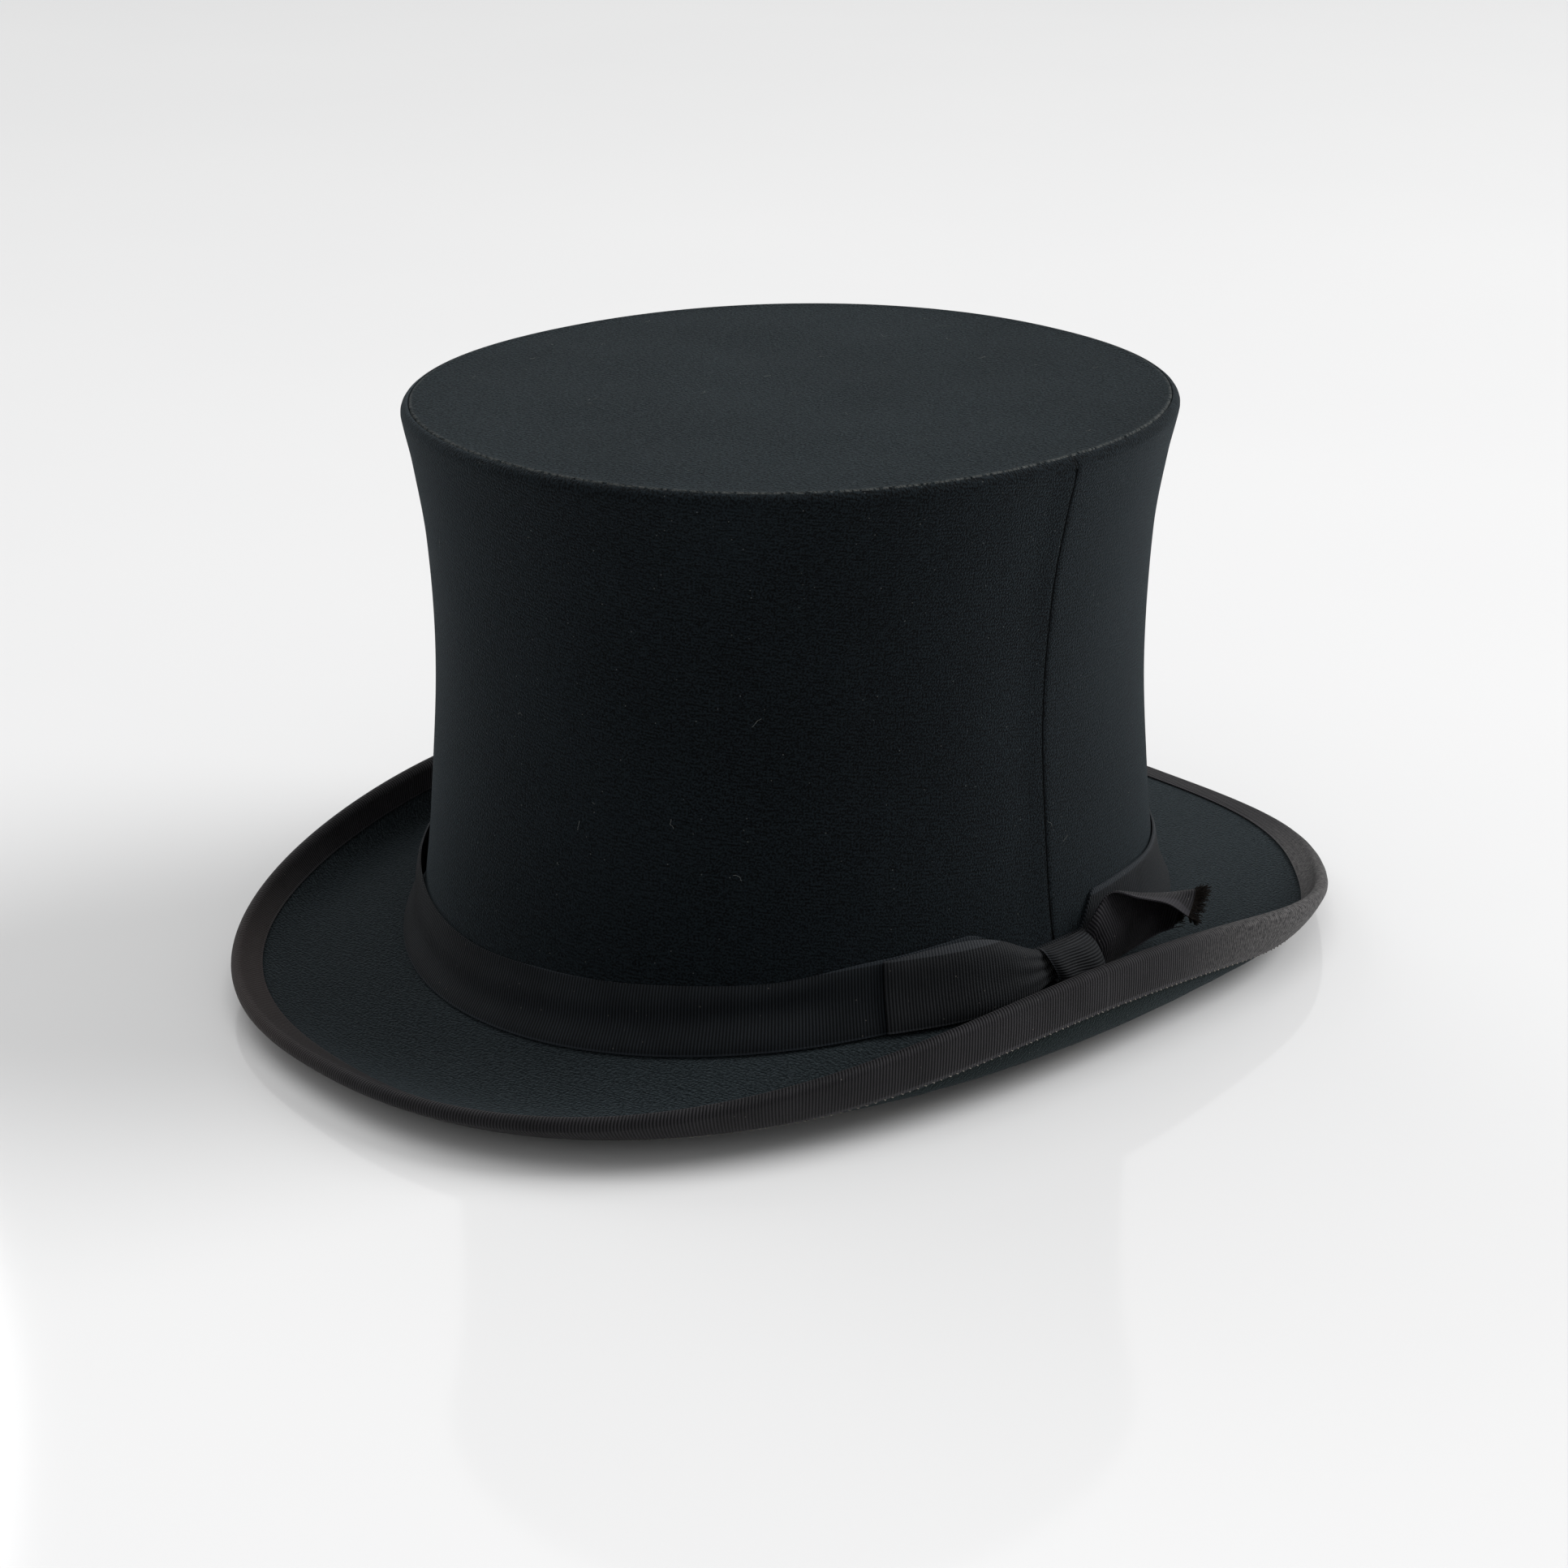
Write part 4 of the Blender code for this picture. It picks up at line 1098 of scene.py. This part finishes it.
def make_lint(finishes):
    """Stray fibres on the cloth, as on any black hat."""
    chance = random.Random(21)

    def on_tip(u, v, x, y):
        reach = 0.083 * math.sqrt((v + 1) / 2)
        return (reach * math.cos(math.pi * u) + x, reach * math.sin(math.pi * u) + y, TIP_Z + 0.00022)

    def on_side(u, v, x, y):
        angle = math.pi * u + x / WAIST_RADIUS
        z = 0.081 + 0.038 * v + y
        return tuple(polar(float(crown_radius(angle, z)) + 0.00018 + float(ripples(angle, z)), angle, z))

    for name, at, count in (("lint_tip", on_tip, 26), ("lint_side", on_side, 24)):
        paths = [hair(chance, at, chance.uniform(0.0008, 0.0032), 0.9) for _ in range(count)]
        piece = strands(name, paths, 0.00005, finishes["lint"], sides=0)
        if name == "lint_tip":
            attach(piece, "crown_top")
        else:
            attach(piece, "base")
            crumple(piece)


# ---- the CAD pieces that stay ----


def refinish_frame(finishes):
    """Better materials on the steel frame and the tip board, whose shapes stay as they are."""
    for name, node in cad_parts.items():
        if name.endswith("_arm") or name in ("base_ring", "top_ring"):
            finish, slot = finishes["blued"], "blued_steel"
        elif name.endswith(("_bracket", "_pin", "_spring")):
            finish, slot = finishes["plated"], "plated_steel"
        elif name == "tip_board":
            finish, slot = finishes["board"], "stiffener"
        else:
            continue
        for place in node.material_slots:
            place.material = finish


# ---- studio ----


def make_floor():
    made = Finish("white_table", Specular_IOR_Level=0.5)
    uneven = made.noise(made.place(), 3.0, 3.0)
    fine = made.noise(made.place(), 260.0, 2.0)
    colour = made.blend(uneven, (0.775, 0.775, 0.78), (0.805, 0.805, 0.805))
    finish = made.finish(colour, made.scaled(uneven, 0.06, 0.05), fine, distance=0.00001, strength=0.2)
    size = 9.0  # half of its side
    mesh = bpy.data.meshes.new("table")
    corners = [(-size, -size, 0), (size, -size, 0), (size, size, 0), (-size, size, 0)]
    mesh.from_pydata(corners, [], [(0, 1, 2, 3)])
    floor = finished("table", mesh, finish)
    floor.location.z = -0.0001  # just below the brim


def area_light(name, azimuth, elevation, distance, size, power):
    """A soft box that faces the hat. Azimuth 0 is in front of the hat and 90 at its left."""
    turn, rise = math.radians(azimuth), math.radians(elevation)
    back = Vector((math.sin(turn) * math.cos(rise), -math.cos(turn) * math.cos(rise), math.sin(rise)))
    light = bpy.data.lights.new(name, "AREA")
    light.shape, light.size, light.energy = "DISK", size, power
    lamp = bpy.data.objects.new(name, light)
    bpy.context.scene.collection.objects.link(lamp)
    lamp.location = Vector((0, 0, 0.07)) + back * distance
    lamp.rotation_mode = "QUATERNION"
    lamp.rotation_quaternion = back.to_track_quat("Z", "Y")


def make_lights():
    world = bpy.data.worlds.new("studio")
    bpy.context.scene.world = world
    world.use_nodes = True
    background = world.node_tree.nodes["Background"]
    background.inputs["Color"].default_value = (1.0, 1.0, 1.0, 1.0)
    background.inputs["Strength"].default_value = 0.60
    area_light("overhead", 49, 84, 5.0, 5.0, 51)
    area_light("behind_right", 150, 34, 5.0, 3.0, 205)
    area_light("behind_left", 265, 30, 5.0, 2.6, 30)


def make_camera():
    """The photograph's view: from the hat's front left, a little above it."""
    azimuth, elevation, roll = math.radians(49.29), math.radians(21.605), math.radians(0.188)
    distance, aim_right, aim_up = 0.8038, -0.002275, 0.03986
    level = Vector((math.sin(azimuth), -math.cos(azimuth), 0))
    back = level * math.cos(elevation) + Vector((0, 0, math.sin(elevation)))
    right = Vector((math.cos(azimuth), math.sin(azimuth), 0))
    up = back.cross(right)
    turned_right = right * math.cos(roll) - up * math.sin(roll)
    turned_up = right * math.sin(roll) + up * math.cos(roll)
    data = bpy.data.cameras.new("camera")
    data.sensor_width = 36.0
    data.lens = 70.81
    data.clip_start, data.clip_end = 0.01, 50.0
    camera = bpy.data.objects.new("camera", data)
    bpy.context.scene.collection.objects.link(camera)
    place = right * aim_right + Vector((0, 0, aim_up)) + back * distance
    turned = Matrix((turned_right, turned_up, back)).transposed().to_4x4()
    camera.matrix_world = Matrix.Translation(place) @ turned
    bpy.context.scene.camera = camera


def main():
    bpy.context.scene.view_settings.view_transform = "Standard"
    finishes = make_finishes()
    make_camera()
    make_lights()
    make_floor()
    make_brim(finishes)
    make_binding(finishes)
    make_side_cloth(finishes)
    make_seam(finishes)
    make_tip(finishes)
    make_lining(finishes)
    make_sweatband(finishes)
    make_band(finishes)
    make_bow(finishes)
    make_lint(finishes)
    refinish_frame(finishes)


main()
